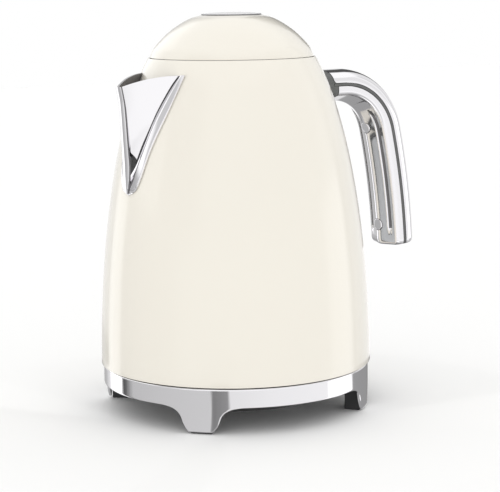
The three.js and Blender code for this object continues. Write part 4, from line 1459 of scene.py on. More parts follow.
@dataclass
class Spout:
    """Spout: V-shaped trim on the jug's side, beak with a nose ridge, and the seal behind.

    The beak's front edge stands at `front`, and above `front_low` it leans out by
    `front_throw` over a height of `front_rise`. Its flanks fill a share `fill` of the
    trim's inner edge and bulge by `bulge`; each changes between the heights in `_zs`.
    """

    shop: Workshop
    outer_edge: tuple[Point2, ...] = (
        (0, 139.5), (5.2, 142.5), (8.4, 150), (12.9, 168), (20.6, 191), (26.9, 212),
    )
    inner_edge: tuple[Point2, ...] = (
        (0, 152), (4, 160), (8.3, 174), (12.6, 189), (18.9, 204), (23.6, 212),
    )
    relief: tuple[Point2, ...] = (
        (0, 0.5), (0.04, 0.95), (0.12, 1.3), (0.24, 1.62), (0.36, 1.8), (0.44, 1.72), (0.6, 1.5),
        (0.8, 1.32), (0.86, 1.2), (0.875, 0.9), (0.89, 1.2), (0.93, 1.4), (0.97, 1.2), (1, 0.5),
    )
    lip: tuple[Point2, ...] = (
        (-90, 204.6), (-83.2, 204.8), (-80, 206), (-76.3, 207.5), (-68.4, 209.9), (-58, 211.5),
        (-48, 211.9),
    )
    ridge: tuple[Corner, ...] = (
        (140.4, 78.2, 0.4), (145, 78.5, 1.5), (151, 78.8, 3.2), (158, 79.0, 3.9), (166, 79.4, 3.7),
        (176, 79.9, 3.4), (186, 80.4, 3.2), (195, 81.1, 3.1), (205.4, 82.9, 3.0),
    )
    front: float = 77.8
    front_throw: float = 5.4
    front_low: float = 158.0
    front_rise: float = 47.0
    front_power: float = 1.9
    fill: Point2 = (0.78, 0.97)
    fill_zs: Point2 = (160.0, 186.0)
    wall: float = 1.4
    low: float = 160.8
    low_at_nose: float = 6.0
    bulge: float = 0.7
    bulge_zs: Point2 = (158.0, 175.0)
    arm_steps: int = 48

    def build(self) -> None:
        """Builds and dresses every piece of the spout."""
        settle = self.shop.settle
        trim = self.v_band("spout_trim", self.outer_edge, self.inner_edge, self.relief, 0.45)
        settle(trim, CHROME, Body.JUG, "spout_flange", sharp=30)
        # The beak's inner walls and the nose's sides are painted with the darker chrome as shade.
        settle(self.beak(), CHROME, Body.JUG, "spout_beak", sharp=35, painted_shade_finish=SHADED_CHROME)
        settle(self.nose(), CHROME, Body.JUG, sharp=28, painted_shade_finish=SHADED_CHROME)
        # Black strip in the gap between beak and trim: painted shadow.
        settle(self.painted_shadow_strip(), BLACK, Body.JUG)
        outer = ((0, 150), (9, 168), (15, 189), (19, 203.5))
        inner = ((0, 158), (5.5, 172), (10.5, 189), (15, 203.5))
        flat = ((0, -2.4), (0.1, -2.1), (0.9, -2.1), (1, -2.4))
        settle(self.v_band("spout_gasket", outer, inner, flat, -3.7), SILICONE, Body.JUG, "spout_seal")

    def v_band(
        self, name: str, outer: Sequence[Point2], inner: Sequence[Point2], relief: Sequence[Point2],
        back: float,
    ) -> Object:
        """Makes a V-shaped band that lies on the jug's side round the spout.

        Args:
            name: The piece's name.
            outer: Angle from the spout's middle and height along the outer edge.
            inner: The same along the inner edge.
            relief: Shares of the way from inner to outer edge, with distances from the side.
            back: Distance of the band's back from the jug's side.

        Returns:
            The new object.
        """
        steps = self.arm_steps
        edges = []
        for edge in (outer, inner):
            arm = curve_through(edge, steps)
            edges.append([(-angle, z) for angle, z in reversed(arm[1:])] + arm)
        rings = []
        for index, ((a1, z1), (a0, z0)) in enumerate(zip(*edges)):
            thin = mix(0.7, 1.0, smooth_step(abs(index - steps) / steps, 0.0, 0.35))
            face = [(t, rise * thin) for t, rise in relief] + [(t, back) for t in (1, 0.5, 0)]
            rings.append([FORM.point(mix(z0, z1, t), 180 + mix(a0, a1, t), off) for t, off in face])
        return skin(name, rings)

    def half_angle(self, z: float) -> float:
        """Angle from the spout's middle to the beak's edge at a height."""
        fill = mix(*self.fill, smooth_step(z, *self.fill_zs))
        return fill * read_off([(high, angle) for angle, high in curve_through(self.inner_edge, 24)], z)

    def nose_reach(self, z: float) -> float:
        """Distance of the beak's front edge from the jug's axis."""
        rise = max(0.0, z - self.front_low) / self.front_rise
        return self.front + self.front_throw * rise**self.front_power

    def root(self, z: float, inset: float = 0.0) -> Vector:
        """Where one flank of the beak meets the jug's side.

        Args:
            z: The height.
            inset: How far inside the flank.

        Returns:
            The point.
        """
        spot = FORM.point(z, 180 - self.half_angle(min(z, 211.6)), 0.25)
        spot.y = max(0.5, spot.y - inset)
        return spot

    def flank_point(self, z: float, share: float, side: int) -> Vector:
        """Point on a flank, by height and by share of the way from the nose to the jug.

        Args:
            z: The height.
            share: From 0 at the nose to 1 at the jug.
            side: 1 or -1, for the flank towards +Y or -Y.

        Returns:
            The point.
        """
        root = self.root(z)
        nose = Vector((-self.nose_reach(z) + 0.7, min(1.9, root.y * 0.8), z))
        across = root - nose
        out = Vector((across.y, -across.x, 0)).normalized()
        if out.y < 0:
            out = -out
        fade = smooth_step(z, *self.bulge_zs)
        spot = nose + across * share + out * (self.bulge * fade * math.sin(math.pi * share))
        return Vector((spot.x, side * spot.y, z))

    def beak(self) -> Object:
        """Two slightly hollow flanks with a rolled lip.

        Returns:
            The new object.
        """
        rows, columns = 56, 16
        shares = [(1 - i / columns, 1) for i in range(columns + 1)]
        shares += [(i / columns, -1) for i in range(columns + 1)]
        points, faces = [], []
        for share, side in shares:
            top = 208.0
            for _ in range(12):
                top = 0.5 * (top + read_off(self.lip, self.flank_point(top, share, side).x))
            low = self.low + self.low_at_nose * (1 - share)
            for row in range(rows + 1):
                points.append(self.flank_point(mix(low, top, row / rows), share, side))
        height = rows + 1
        for column in range(len(shares) - 1):
            for row in range(rows):
                a = column * height + row
                faces.append((a, a + height, a + height + 1, a + 1))
        beak = mesh_piece("spout_beak_walls", points, faces)
        outward(beak)
        # The inner walls take index 1, which is painted with the darker chrome as shade inside the beak.
        thickened(beak, self.wall)
        soften(beak, 0.35, angle=55)
        return beak

    def nose(self) -> Object:
        """Rounded ridge down the beak's front and over the trim to its tip.

        Returns:
            The new object.
        """
        front = [(z, reach) for z, reach, _ in self.ridge]
        wide = [(z, half) for z, _, half in self.ridge]
        low, high = self.ridge[0][0], self.ridge[-1][0]
        left = [(0.0, 0.0), (0.55, 0.1), (0.85, 0.35), (1.0, 0.75), (0.97, 2.0)]
        around = left + [(-share, deep) for share, deep in reversed(left[1:])]
        rings = []
        for step in range(61):
            z = mix(low, high, step / 60)
            reach, half = read_off(front, z), read_off(wide, z)
            rings.append([Vector((-reach + deep, share * half, z)) for share, deep in around])
        nose = skin("spout_nose_ridge", rings)
        # Side faces take index 1, the darker chrome: painted shade lines either side of the ridge.
        for face in nose.data.polygons:
            face.material_index = int(abs(face.normal.y) > 0.9)
        return nose

    def painted_shadow_strip(self) -> Object:
        """Black strip in the gap between beak and trim, painted shadow where the gap lies in shade.

        Returns:
            The new object.
        """
        inner = [(max(angle - 3.0, 0.0), z + 7.0) for angle, z in self.inner_edge[:-2]]
        inner += [(self.inner_edge[-2][0] - 1.6, 206.5), (self.inner_edge[-1][0] - 1.6, 211.4)]
        outer = [(angle, z - 0.4) for angle, z in self.inner_edge[:-1]] + [(self.inner_edge[-1][0], 211.4)]
        return self.v_band("spout_gap_strip", outer, inner, ((0, 0.7), (0.5, 0.75), (1, 0.7)), 0.35)

    def passage(self, low: float, high: float) -> Object:
        """What cuts the way through the jug's side behind the beak.

        Args:
            low: Height of its floor.
            high: Height of its top.

        Returns:
            The new object.
        """
        inset = self.wall + 1
        rings = []
        for step in range(25):
            z = mix(low, high, step / 24)
            root = self.root(z, inset * 1.4)
            nose = self.nose_reach(z) - inset * 1.6
            tip = min(0.4, root.y * 0.6)
            half = [(-nose, tip * 0.4), (-nose + tip * 0.55, tip), (root.x, root.y), (root.x + 14, root.y)]
            ring = [Vector((x, y, z)) for x, y in half] + [Vector((x, -y, z)) for x, y in reversed(half)]
            rings.append(ring)
        return skin("passage", rings)


# ------------------------------------------------------------------ the handle


@dataclass(frozen=True)
class Station:
    """One place along the handle: position, and its outward direction's tilt in degrees."""

    x: float
    z: float
    tilt: float

    def point(self, out: float, y: float, along: float = 0.0) -> Vector:
        """Point at a distance outwards, across and onwards from the station."""
        sine, cosine = math.sin(math.radians(self.tilt)), math.cos(math.radians(self.tilt))
        return Vector((self.x + out * sine + along * cosine, y, self.z + out * cosine - along * sine))


@dataclass
class Handle:
    """Handle: collar, crowned outer shell, parting strip, fluted inner shell, caps and screws.

    It runs out from the jug, round a bend and down a slow sweep. A flute stands at
    `flute_at` each side of the inner crease and fades out between the heights in
    `flute_ends`; faces near `shade_at` take the darker chrome as painted shade in the flute.
    """

    shop: Workshop
    reach: float = 140.48
    root_x: float = 58.0
    bend_x: float = 79.0
    top_z: float = 200.3
    bend_radius: float = 39.5
    bend_angle: float = 77.0
    sweep_radius: float = 450.0
    end_z: float = 91.5
    end_round: float = 4.0
    end_taper: float = 0.16
    end_steps: int = 9
    half_width: float = 14.5
    root_crown: float = 9.4
    strip: float = 0.9
    keel: float = 2.4
    crease_depth: float = 11.8
    crease_slope: float = 0.36
    flute_at: float = 9.1
    flute_half: float = 1.75
    flute_depth: float = 2.0
    flute_ends: tuple[Point2, Point2] = ((99.0, 104.0), (180.0, 187.0))
    shade_at: float = 9.2
    shade_half: float = 1.15
    shade_zs: Point2 = (102.0, 182.0)
    caps: tuple[tuple[str, float], ...] = (("upper", 173.5), ("lower", 105.3))
    stations: list[Station] = field(init=False)

    def __post_init__(self) -> None:
        """Lays out the stations from root to free end."""
        stations = [Station(mix(self.root_x, self.bend_x, i / 6), self.top_z, 0.0) for i in range(6)]
        for i in range(33):
            tilt = self.bend_angle * i / 32
            turn = math.radians(tilt)
            x = self.bend_x + self.bend_radius * math.sin(turn)
            stations.append(Station(x, self.top_z - self.bend_radius * (1 - math.cos(turn)), tilt))
        bend = stations[-1]
        lean = math.radians(90 - self.bend_angle)
        for i in range(1, 41):
            z = mix(bend.z, self.end_z + self.end_round, i / 40)
            now = math.asin(math.sin(lean) - (bend.z - z) / self.sweep_radius)
            x = bend.x + self.sweep_radius * (math.cos(now) - math.cos(lean))
            stations.append(Station(x, z, 90 - math.degrees(now)))
        self.stations = stations

    def build(self) -> None:
        """Builds and dresses every piece of the handle."""
        jug = Body.JUG
        settle = self.shop.settle
        settle(self.collar(), GREY, jug, "handle_collar", sharp=30)
        outer = self.sweep("handle_outer", self.outer_section)
        settle(outer, CHROME, jug, "handle_outer_shell", sharp=45)
        strip = self.sweep("handle_parting_strip", self.strip_section)
        settle(strip, GREY, jug, "handle_strip", sharp=45)
        inner = self.sweep("handle_inner", self.inner_section)
        cut(inner, *[self.cap_rod("seat", z, 4.1, 7.4, 20) for _, z in self.caps])
        low, high = self.shade_zs
        # Faces in the flute take index 1, the darker chrome: painted shade in the groove.
        for face in inner.data.polygons:
            _, y, z = face.center
            flute_shade_face = abs(abs(y) - self.shade_at) < self.shade_half and low < z < high
            face.material_index = int(flute_shade_face)
        settle(inner, CHROME, jug, "handle_inner_shell", sharp=26, painted_shade_finish=SHADED_CHROME)
        for name, z in self.caps:
            cap = self.cap_rod(f"handle_cap_{name}_turned", z, 3.8, 7.7, 11.5, rim=0.6)
            settle(cap, CHROME, jug, f"handle_cap_{name}")
            screw = self.cap_rod(f"handle_screw_{name}_turned", z, 2.3, 4, 7.2, rim=0.3)
            settle(screw, STEEL, jug, f"handle_screw_{name}")

    def sweep(self, name: str, section: Callable[[Station], list[Point2]]) -> Object:
        """Sweeps a section of outward and crosswise pairs down the handle, and trims its ends.

        Args:
            name: The piece's name.
            section: Gives the section at a station.

        Returns:
            The new object.
        """
        rings = [[s.point(n, y) for n, y in section(s)] for s in self.stations]
        end = self.stations[-1]
        for step in range(1, self.end_steps + 1):
            turn = math.pi / 2 * step / self.end_steps
            scale = 1 - self.end_taper * (1 - math.cos(turn))
            down = self.end_round * math.sin(turn)
            rings.append([end.point(n * scale, y * scale, down) for n, y in section(end)])
        shape = skin(name, rings)
        cut(shape, self.root_cutter())
        return shape

    def outer_section(self, station: Station) -> list[Point2]:
        """Crowned section, deeper at the free end than at the root.

        Args:
            station: The place along the handle.

        Returns:
            Outward and crosswise pairs.
        """
        end = self.stations[-1]
        full = (self.reach - end.x) / math.sin(math.radians(end.tilt))
        crown = mix(self.root_crown, full, min(1.0, station.tilt / 80))
        low = self.strip + GAP
        section = []
        for i in range(45):
            t = math.pi * i / 44
            wide = math.copysign(abs(math.cos(t)) ** 0.9, math.cos(t))
            section.append((low + (crown - low) * math.sin(t) ** 0.9, self.half_width * wide))
        section[0], section[-1] = (low, self.half_width - 0.25), (low, 0.25 - self.half_width)
        return section

    def inner_section(self, station: Station) -> list[Point2]:
        """Flat sides, a creased inner face and a rounded flute each side of the crease.

        Args:
            station: The place along the handle.

        Returns:
            Outward and crosswise pairs.
        """
        lower, upper = self.flute_ends
        fade = smooth_step(station.z, *lower) * (1 - smooth_step(station.z, *upper))
        half = [
            (-1.2, 14.25), (-1.45, 14.5), (-4.4, 14.5), (-5.4, 14.25), (-6.3, 13.75), (-6.95, 13.1),
            (-7.35, 12.4),
        ]
        slope, deep = self.crease_slope, -self.crease_depth
        for i in range(1, 37):
            y = mix(12.4, 0.25, i / 36)
            rise = slope * (y if y > self.keel else (y * y / self.keel + self.keel) / 2)
            near = min(abs(y - self.flute_at) / self.flute_half, 1.0)
            flute = self.flute_depth * fade * (0.5 + 0.5 * math.cos(math.pi * near))
            half.append((deep + rise + flute, y))
        return [*half, (deep + slope / 2 * self.keel, 0.0), *[(n, -y) for n, y in reversed(half)]]

    def strip_section(self, _station: Station) -> list[Point2]:
        """Section of the dark strip between the shells.

        Args:
            _station: The place along the handle, which changes nothing here.

        Returns:
            Outward and crosswise pairs.
        """
        n, y = self.strip, self.half_width - 0.2
        near = [(n, 0.2 - y), (n - 0.2, -y), (0.2 - n, -y), (-n, 0.2 - y)]
        return [*near, *[(side, -across) for side, across in reversed(near)]]

    def root_cutter(self, shift: float = GAP, outside: bool = False) -> Object:
        """Everything on one side of the face where collar and shells meet.

        Args:
            shift: How far towards the handle the face is moved.
            outside: True for the side of the handle, not of the jug.

        Returns:
            The new object.
        """
        far = 120 if outside else 20
        high = self.top_z + self.strip - 0.02
        low = self.top_z - self.strip - 0.02
        outline = [
            (far, 230, 0), (66.2 + shift, 227, 0), (69.0 + shift, high + shift, 4.0), (75.0, high + shift, 0),
            (75.0, high, 0), (69.1 + shift, high, 0), (69.2 + shift, low, 0), (72.6 + shift, low, 0.4),
            (72.8 + shift, 177, 0), (far, 174, 0),
        ]
        return slab("root_cutter", rounded(outline, steps=8), -30, 30)

    def collar(self) -> Object:
        """Grey collar that seats the handle on the jug.

        Returns:
            The new object.
        """
        root = self.stations[0]
        upper = self.outer_section(root)
        lower = list(reversed(self.inner_section(root)[1:-1]))
        section = [(y * 0.985, self.top_z + n * 0.985) for n, y in [*upper, *lower]]
        collar = upright("handle_seat", section, (50, 60, 70, 76))
        core = turned("core", [(0, 170), *FORM.wall(170, 222, GAP), (0, 222)], 192)
        cut(collar, self.root_cutter(0, outside=True), core)
        soften(collar, 0.3, angle=50)
        return collar

    def cap_rod(
        self, name: str, z: float, radius: float, start: float, end: float, rim: float = 0.0
    ) -> Object:
        """Rod that stands inwards off the handle at a height.

        Args:
            name: The piece's name.
            z: Height on the handle's middle line.
            radius: The rod's radius.
            start: Distance inwards of its near end.
            end: Distance inwards of its far end.
            rim: Rounding of its rims.

        Returns:
            The new object.
        """
        index = next(i for i, s in enumerate(self.stations) if s.z < z)
        a, b = self.stations[index - 1], self.stations[index]
        t = (a.z - z) / (a.z - b.z)
        place = Station(mix(a.x, b.x, t), z, mix(a.tilt, b.tilt, t))
        return rod(name, place.point(-start, 0), place.point(-end, 0), radius, rim, segments=48)


# ------------------------------------------------------------------ the power switch


@dataclass
class Switch:
    """Power switch: lever with a ball knob, its pin and the plate round its slot."""

    shop: Workshop
    pivot: Point2 = (75.0, 37.0)
    knob: Point2 = (94.0, 42.0)
    ball: float = 4.6

    def build(self) -> None:
        """Builds and dresses the switch."""
        settle = self.shop.settle
        x, z = self.pivot
        knob_x, knob_z = self.knob
        outline = [
            (x - 8, z - 1.5), (x + 4, z - 1.8), (knob_x - 3, knob_z - 1.6), (knob_x - 3, knob_z + 1.6),
            (x + 3, z + 3), (x - 4, z + 2.6), (x - 8, z + 1.5),
        ]
        arm = slab("lever_arm", outline, -1.9, 1.9, 0.4)
        cut(arm, cross_rod("bore", self.pivot, (-6, 6), 1.25))
        settle(arm, CHROME, Body.LEVER, "power_lever")
        turns = [math.pi * i / 32 for i in range(1, 32)]
        side = [(self.ball * math.sin(turn), -self.ball * math.cos(turn)) for turn in turns]
        ball = turned("lever_ball", [(0, -self.ball), *side, (0, self.ball)], 64)
        moved(ball, knob_x + 1.6, knob_z)
        cut(ball, block("flat", (knob_x - 6, knob_x - 3 + GAP), (-6, 6), (30, 50)))
        settle(ball, CHROME, Body.LEVER, "lever_knob")
        pin = cross_rod("lever_axle", self.pivot, (-5, 5), 1.15, 0.2)
        settle(pin, STEEL, Body.JUG, "lever_pin")
        low, high = LEVER_ZS
        hole = [(-LEVER_HALF, low), (LEVER_HALF, low), (LEVER_HALF, high), (-LEVER_HALF, high)]
        plate = wrapped("lever_plate", rounded_box(4.6, 31.4, 48.4, 2), GAP, 1.2, bevel=0.3, hole=hole)
        settle(plate, CHROME, Body.JUG, "lever_bezel")


# ------------------------------------------------------------------ the lid


@dataclass
class Lid:
    """Lid: enamelled dome, steel liner, seal, button with guide and latch, and hinge."""

    shop: Workshop
    dome: tuple[Point2, ...] = (
        (51.2, 220.6), (48.8, 226), (44.3, 231.2), (38.7, 236.4), (32.2, 240.9), (25.4, 244.5), (19, 246.3),
    )
    wall: float = 1.6
    height: float = 248.0
    button_radius: float = 18.6
    button_low: float = 240.6

    def build(self) -> None:
        """Builds and dresses every piece of the lid."""
        lid = Body.LID
        settle = self.shop.settle
        settle(self.shell(), ENAMEL, lid, "lid_dome", sharp=50)
        settle(self.liner(), STEEL, lid, "lid_liner")
        seal = [(41.8, 206.9, 0.1), (43.0, 207.7, 0.3), (43.0, 208.9, 0.3), (41.8, 209.7, 0.1)]
        settle(turned("lid_gasket", seal), SILICONE, lid, "lid_seal")
        settle(self.bracket(), GREY, lid, "lid_hinge_bracket")
        guide = [
            (6.2, 223.4, 0.3), (7.6, 223.4, 0.3), (7.6, 236, 0.4), (21.9, 236, 0.4), (21.9, 243.5, 0.3),
            (20.4, 243.5, 0.3), (20.4, 237.4, 0.3), (6.2, 237.4, 0.3),
        ]
        settle(turned("button_well", guide, 96), GREY, lid, "button_guide")
        crown = self.button()
        settle(crown, SATIN_CHROME, Body.BUTTON, "lid_button", sharp=50, painted_shade_finish=SHADED_CHROME)
        settle(self.latch(), GREY, Body.LATCH, "lid_latch")
        pin = cross_rod("hinge_axle", HINGE, (-14.8, 14.8), 1.5, 0.3)
        settle(pin, STEEL, Body.JUG, "lid_hinge_pin")
        coils = spring_tree()
        spring = grown("hinge_coil", coils, {"Radius": 2.6, "Wire": 0.5, "Length": 6.4, "Turns": 4.0})
        place = Matrix.Translation((HINGE[0], 0, HINGE[1])) @ Matrix.Rotation(math.pi / 2, 4, "X")
        spring.data.transform(place @ Matrix.Translation((0, 0, -3.2)))
        settle(spring, STEEL, Body.JUG, "lid_hinge_spring", sharp=60)
        lift = grown("button_coil", coils, {"Radius": 7.0, "Wire": 0.5, "Length": 5.1, "Turns": 3.0})
        settle(moved(lift, z=237.95), STEEL, lid, "button_spring", sharp=60)
        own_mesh(lift)

    def shell(self) -> Object:
        """Enamelled dome with its hole for the button.

        Returns:
            The new object.
        """
        outer = curve_through(self.dome, 60)
        inner = []
        for i, (r, z) in enumerate(self.dome):
            rise = i / (len(self.dome) - 1)
            inner.append((r - self.wall * math.cos(rise * 1.2), z - self.wall * math.sin(rise * 1.4)))
        inner[0] = (inner[0][0], self.dome[0][1])
        inner[-1] = (self.dome[-1][0], inner[-1][1])
        shell = turned("lid_shell", [*outer, *reversed(curve_through(inner, 40))], 224)
        soften(shell, 0.15, angle=50)
        return shell

    def liner(self) -> Object:
        """Pressed steel plug that closes the neck below, slotted for the latch.

        Returns:
            The new object.
        """
        outline = [
            (0, 206, 0), (40.5, 206, 0.5), (41.5, 207, 0.5), (41.5, 221.1, 0.3), (48.6, 221.1, 0.3),
            (48.15, 222.3, 0.3), (40.3, 222.3, 0.3), (40.3, 207.4, 0.8), (9, 207.4, 0.3), (9, 213.3, 0.2),
            (7.6, 213.3, 0.2), (7.6, 207.4, 0.3), (0, 207.4, 0),
        ]
        liner = turned("lid_plug", outline)
        cut(liner, block("latch_slot", (-60, -38), (-4.5, 4.5), (213.2, 217.4)))
        return liner

    def bracket(self) -> Object:
        """Bracket with two knuckles that turns on the hinge's axle.

        Returns:
            The new object.
        """
        x, z = HINGE
        bracket = block("hinge_plate", (41.8, 43.2), (-9, 9), (z - 2.6, z + 2), 0.3)
        parts = []
        for near, far in ((5, 9), (-9, -5)):
            parts.append(cross_rod("knuckle", HINGE, (near, far), 3.3, 0.4))
            parts.append(block("web", (42.8, x), (near, far), (z - 2, z + 1.5), 0.2))
        fuse(bracket, *parts)
        cut(bracket, cross_rod("bore", HINGE, (-12, 12), 1.58))
        return bracket

    def button(self) -> Object:
        """Crowned push button with its stem, its edge painted darker as the shadow line under the crown.

        Returns:
            The new object.
        """
        radius, low, top = self.button_radius, self.button_low, self.height
        outline = [
            (0, 219, 0), (3.4, 219, 0.5), (3.4, 243.6, 0.4), (17, 243.6, 0.3), (17, low, 0.3),
            (radius, low, 0.2), (radius, top - 1.0, 0.25), (14.9, top - 0.55, 2.0), (8.4, top - 0.16, 3.0),
            (0, top, 0),
        ]
        button = turned("button_crown", outline, 128, steps=6)
        # Faces of the button's edge take index 1, the darker chrome: a painted shadow line under the crown.
        for face in button.data.polygons:
            x, y, z = face.center
            shadow_line_face = math.hypot(x, y) > radius - 0.2 and z > low + 0.2 and abs(face.normal.z) < 0.5
            face.material_index = int(shadow_line_face)
        return button

    @staticmethod
    def latch() -> Object:
        """Sprung bolt with a sloping nose."""
        outline = [(-45.2, 216.0), (-42.8, 213.6), (-7.5, 213.6), (-7.5, 217), (-45.2, 217)]
        return slab("latch_bolt", outline, -4, 4, 0.3)


# ------------------------------------------------------------------ the studio


SIDE_PANELS = (
    (123, 0.4), (135, 0.5), (180, 0.75), (192, 1.02), (245, 1.05), (322, 0.95), (326, 1.4), (350, 1.4),
    (356, 0.6), (360, 0.45),
)
WHITE = (1.0, 1.0, 1.0, 1.0)


@dataclass
class Studio:
    """Camera, plain pale floor and soft light."""

    axis_x: float
    azimuth: float = math.radians(-34.0)
    distance: float = 1085.6
    height: float = 270.1
    pitch: float = math.radians(8.86)
    yaw: float = -0.0091
    roll: float = -0.0119
    lens: float = 124.85
    brightest: float = 1.6
    ambient: float = 1.07
    levels: tuple[tuple[float, float, tuple[Point2, ...]], ...] = (
        (-2.0, -0.80, ((0, 0.35), (360, 0.35))),
        (-0.66, -0.55, ((0, 0.5), (52, 0.35), (100, 0.35), (118, 0.5), (150, 0.7), (360, 0.7))),
        (-0.46, -0.30, (
            (0, 0.6), (28, 0.7), (34, 0.8), (66, 0.8), (74, 0.4), (86, 0.35), (89, 0.15), (98, 0.15),
            (101, 1.3), (113, 1.3), (117, 0.45), (160, 0.5), (190, 0.75), (205, 0.9), (262, 1.05),
            (330, 1.05), (345, 0.6), (360, 0.5),
        )),
        (-0.20, -0.195, (
            (0, 0.7), (30, 0.9), (40, 1.05), (66, 1.05), (74, 0.62), (88, 0.5), (91, 0.26), (97, 0.26),
            (101, 1.4), (119, 1.4), *SIDE_PANELS,
        )),
        (-0.175, 0.05, (
            (0, 0.7), (30, 0.9), (40, 1.05), (66, 1.0), (74, 0.88), (88, 0.8), (91, 0.7), (97, 0.7),
            (101, 1.35), (119, 1.35), *SIDE_PANELS,
        )),
        (0.12, 0.60, (
            (0, 0.85), (33, 0.8), (37, 0.08), (50.5, 0.08), (52, 0.8), (60, 0.8), (64, 0.5), (71, 0.5),
            (77, 1.4), (110, 1.4), (118, 1.15), (160, 1.15), (165, 0.64), (195, 0.62), (212, 0.95),
            (290, 0.85), (330, 0.85), (345, 1.0), (360, 0.6),
        )),
        (0.72, 2.0, ((0, 1.08), (360, 1.08))),
    )
    ring_radius: float = 84.1
    ring_tones: tuple[Point2, ...] = (
        (140, 0.45), (158, 0.5), (165.5, 0.85), (166, 1.3), (178, 1.3), (178.4, 0.07), (181, 0.14),
        (186, 0.55), (205, 0.6), (225.2, 0.64), (225.6, 0.22), (232.4, 0.3), (232.8, 0.82), (250, 0.9),
        (278.3, 0.95), (278.7, 1.25), (295, 1.25), (295.6, 0.34), (318, 0.3), (322, 0.05), (332, 0.05),
    )
    card_reach: Point2 = (3.0, 140.0)
    card_steps: int = 96

    def build(self) -> None:
        """Sets up the camera, the floor, its cards and the light."""
        self.place_camera()
        self.lay_floor()
        self.lay_cards()
        self.light()
        view = bpy.context.scene.view_settings
        view.view_transform = "Standard"
        view.look = "None"

    def place_camera(self) -> None:
        """Makes the camera and points it at the kettle."""
        data = bpy.data.cameras.new("camera")
        data.lens = self.lens
        data.sensor_width = 36.0
        data.clip_start, data.clip_end = 0.05, 20.0
        camera = placed("camera", data)
        bpy.context.scene.camera = camera
        a = self.azimuth
        turn = a + self.yaw
        eye = Vector((self.distance * math.sin(a), -self.distance * math.cos(a), self.height)) * MM
        level = math.cos(self.pitch)
        ahead = Vector((-math.sin(turn) * level, math.cos(turn) * level, -math.sin(self.pitch)))
        right = Vector((math.cos(turn), math.sin(turn), 0))
        up = right.cross(ahead)
        rolled_right = math.cos(self.roll) * right + math.sin(self.roll) * up
        rolled_up = math.cos(self.roll) * up - math.sin(self.roll) * right
        frame = Matrix((rolled_right, rolled_up, -ahead)).transposed().to_4x4()
        camera.matrix_world = Matrix.Translation(eye + Vector((self.axis_x, 0, 0))) @ frame

    def lay_floor(self) -> None:
        """Lays a plain pale floor that the chrome doesn't mirror."""
        floor = mesh_piece("floor", [(-3, -3, 0), (3, -3, 0), (3, 3, 0), (-3, 3, 0)], [(0, 1, 2, 3)])
        material = bpy.data.materials.new("pale_floor")
        nodes = bare_nodes(material)
        look = {"Base Color": (0.945, 0.945, 0.94, 1.0), "Roughness": 0.9}
        shader = nodes.out("ShaderNodeBsdfPrincipled", look)
        nodes.add("ShaderNodeOutputMaterial", {"Surface": shader})
        floor.data.materials.append(material)
        floor.visible_glossy = False

    def lay_cards(self) -> None:
        """Lays light and dark cards on the floor that only the ring of the base mirrors."""
        first, last = self.ring_tones[0][0], self.ring_tones[-1][0]
        eye_bearing = 270 + math.degrees(self.azimuth)
        steps = self.card_steps
        points = []
        for step in range(steps + 1):
            bearing = mix(first, last, step / steps)
            start, along = polar(1, bearing), polar(1, 2 * bearing - eye_bearing)
            for far in self.card_reach:
                place = (start * self.ring_radius + along * far) * MM
                points.append(tuple(place + Vector((self.axis_x, 0, 0.0004))))
        faces = [(2 * i, 2 * i + 1, 2 * i + 3, 2 * i + 2) for i in range(steps)]
        mesh = bpy.data.meshes.new("floor_cards")
        mesh.from_pydata(points, [], faces)
        marks = mesh.uv_layers.new(name="UVMap")
        for loop in mesh.loops:
            marks.uv[loop.index].vector = (loop.vertex_index // 2 / steps, 0.5)
        material = bpy.data.materials.new("card_tones")
        nodes = bare_nodes(material)
        place = nodes.out("ShaderNodeTexCoord", pick="UV")
        share = nodes.out("ShaderNodeSeparateXYZ", {"Vector": place}, "X")
        tones = [((turn - first) / (last - first), grey / self.brightest) for turn, grey in self.ring_tones]
        look = {"Color": nodes.ramp(tones, share), "Strength": self.brightest}
        nodes.add("ShaderNodeOutputMaterial", {"Surface": nodes.out("ShaderNodeEmission", look)})
        mesh.materials.append(material)
        cards = placed("floor_cards", mesh)
        cards.visible_camera = False
        cards.visible_diffuse = False
        cards.visible_shadow = False
        cards.visible_transmission = False

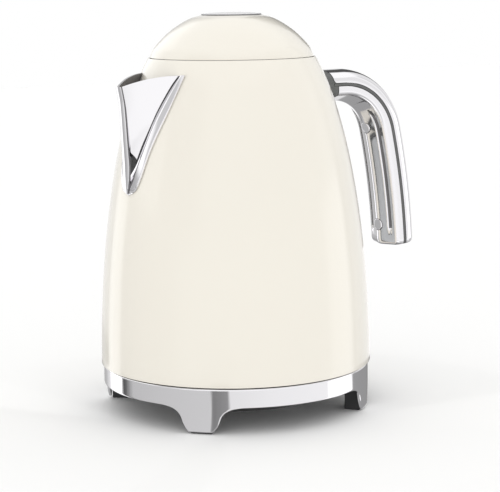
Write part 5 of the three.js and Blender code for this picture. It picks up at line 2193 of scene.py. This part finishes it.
    def light(self) -> None:
        """Lights the kettle with an even studio whose panels the chrome mirrors."""
        world = bpy.data.worlds.new("studio")
        bpy.context.scene.world = world
        nodes = bare_nodes(world)
        ray = nodes.out("ShaderNodeNewGeometry", pick="Incoming")
        parts = nodes.add("ShaderNodeSeparateXYZ", {"Vector": ray}).outputs
        aside, ahead, rise = (nodes.math("MULTIPLY", parts[axis], -1.0) for axis in ("X", "Y", "Z"))
        bearing = nodes.math("ARCTAN2", ahead, aside)
        share = nodes.math("FRACT", nodes.math("ADD", nodes.math("DIVIDE", bearing, 2 * math.pi), 1.0))
        seen, even, mirror = (
            nodes.out("ShaderNodeBackground", {"Color": color, "Strength": strength})
            for color, strength in (
                (WHITE, 1.0), (WHITE, self.ambient), (self.mirrored_room(nodes, share, rise), self.brightest),
            )
        )
        path = nodes.add("ShaderNodeLightPath").outputs
        soft = nodes.out("ShaderNodeMixShader", {0: path["Is Glossy Ray"], 1: even, 2: mirror})
        whole = nodes.out("ShaderNodeMixShader", {0: path["Is Camera Ray"], 1: soft, 2: seen})
        nodes.add("ShaderNodeOutputWorld", {"Surface": whole})

    def mirrored_room(self, nodes: Nodes, share: Socket, rise: Socket) -> Socket:
        """Wires the panels that the chrome mirrors.

        Args:
            nodes: The world's nodes.
            share: Share of the whole turn that a direction stands at.
            rise: Height of the direction, from -1 to 1.

        Returns:
            The colour seen in that direction, as a share of the brightest.
        """
        color: Socket | None = None
        last = 0.0
        for low, high, panels in self.levels:
            ramp = nodes.ramp([(angle / 360, grey / self.brightest) for angle, grey in panels], share)
            if color is not None:
                limits = {"Value": rise, "From Min": last, "From Max": low}
                step = nodes.out("ShaderNodeMapRange", limits, interpolation_type="SMOOTHSTEP")
                ramp = nodes.out("ShaderNodeMix", {0: step, 6: color, 7: ramp}, 2, data_type="RGBA")
            color, last = ramp, high
        return color


# ------------------------------------------------------------------ the assembly

HIDDEN_STEEL = ("heating_element", "handle_bracket", "handle_root_screw_1", "handle_root_screw_2")
HIDDEN_BLACK = ("control_unit", "switch_frame")


def main() -> None:
    """Builds the whole scene."""
    logging.basicConfig(level=logging.INFO, format="%(name)s: %(message)s")
    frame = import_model()
    low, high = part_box("base_core")
    axis_x = (low.x + high.x) / 2
    groups = ShaderGroups()
    materials = {finish.name: finish.material(groups) for finish in FINISHES}
    shop = Workshop(axis_x, materials)
    Studio(axis_x).build()
    spout = Spout(shop)
    PowerBase(shop).build()
    Jug(shop).build(spout)
    spout.build()
    Handle(shop).build()
    Switch(shop).build()
    Lid(shop).build()
    shop.dress(frame["nodes"], STEEL, HIDDEN_STEEL)
    shop.dress(frame["nodes"], BLACK, HIDDEN_BLACK)


if __name__ == "__main__":
    main()
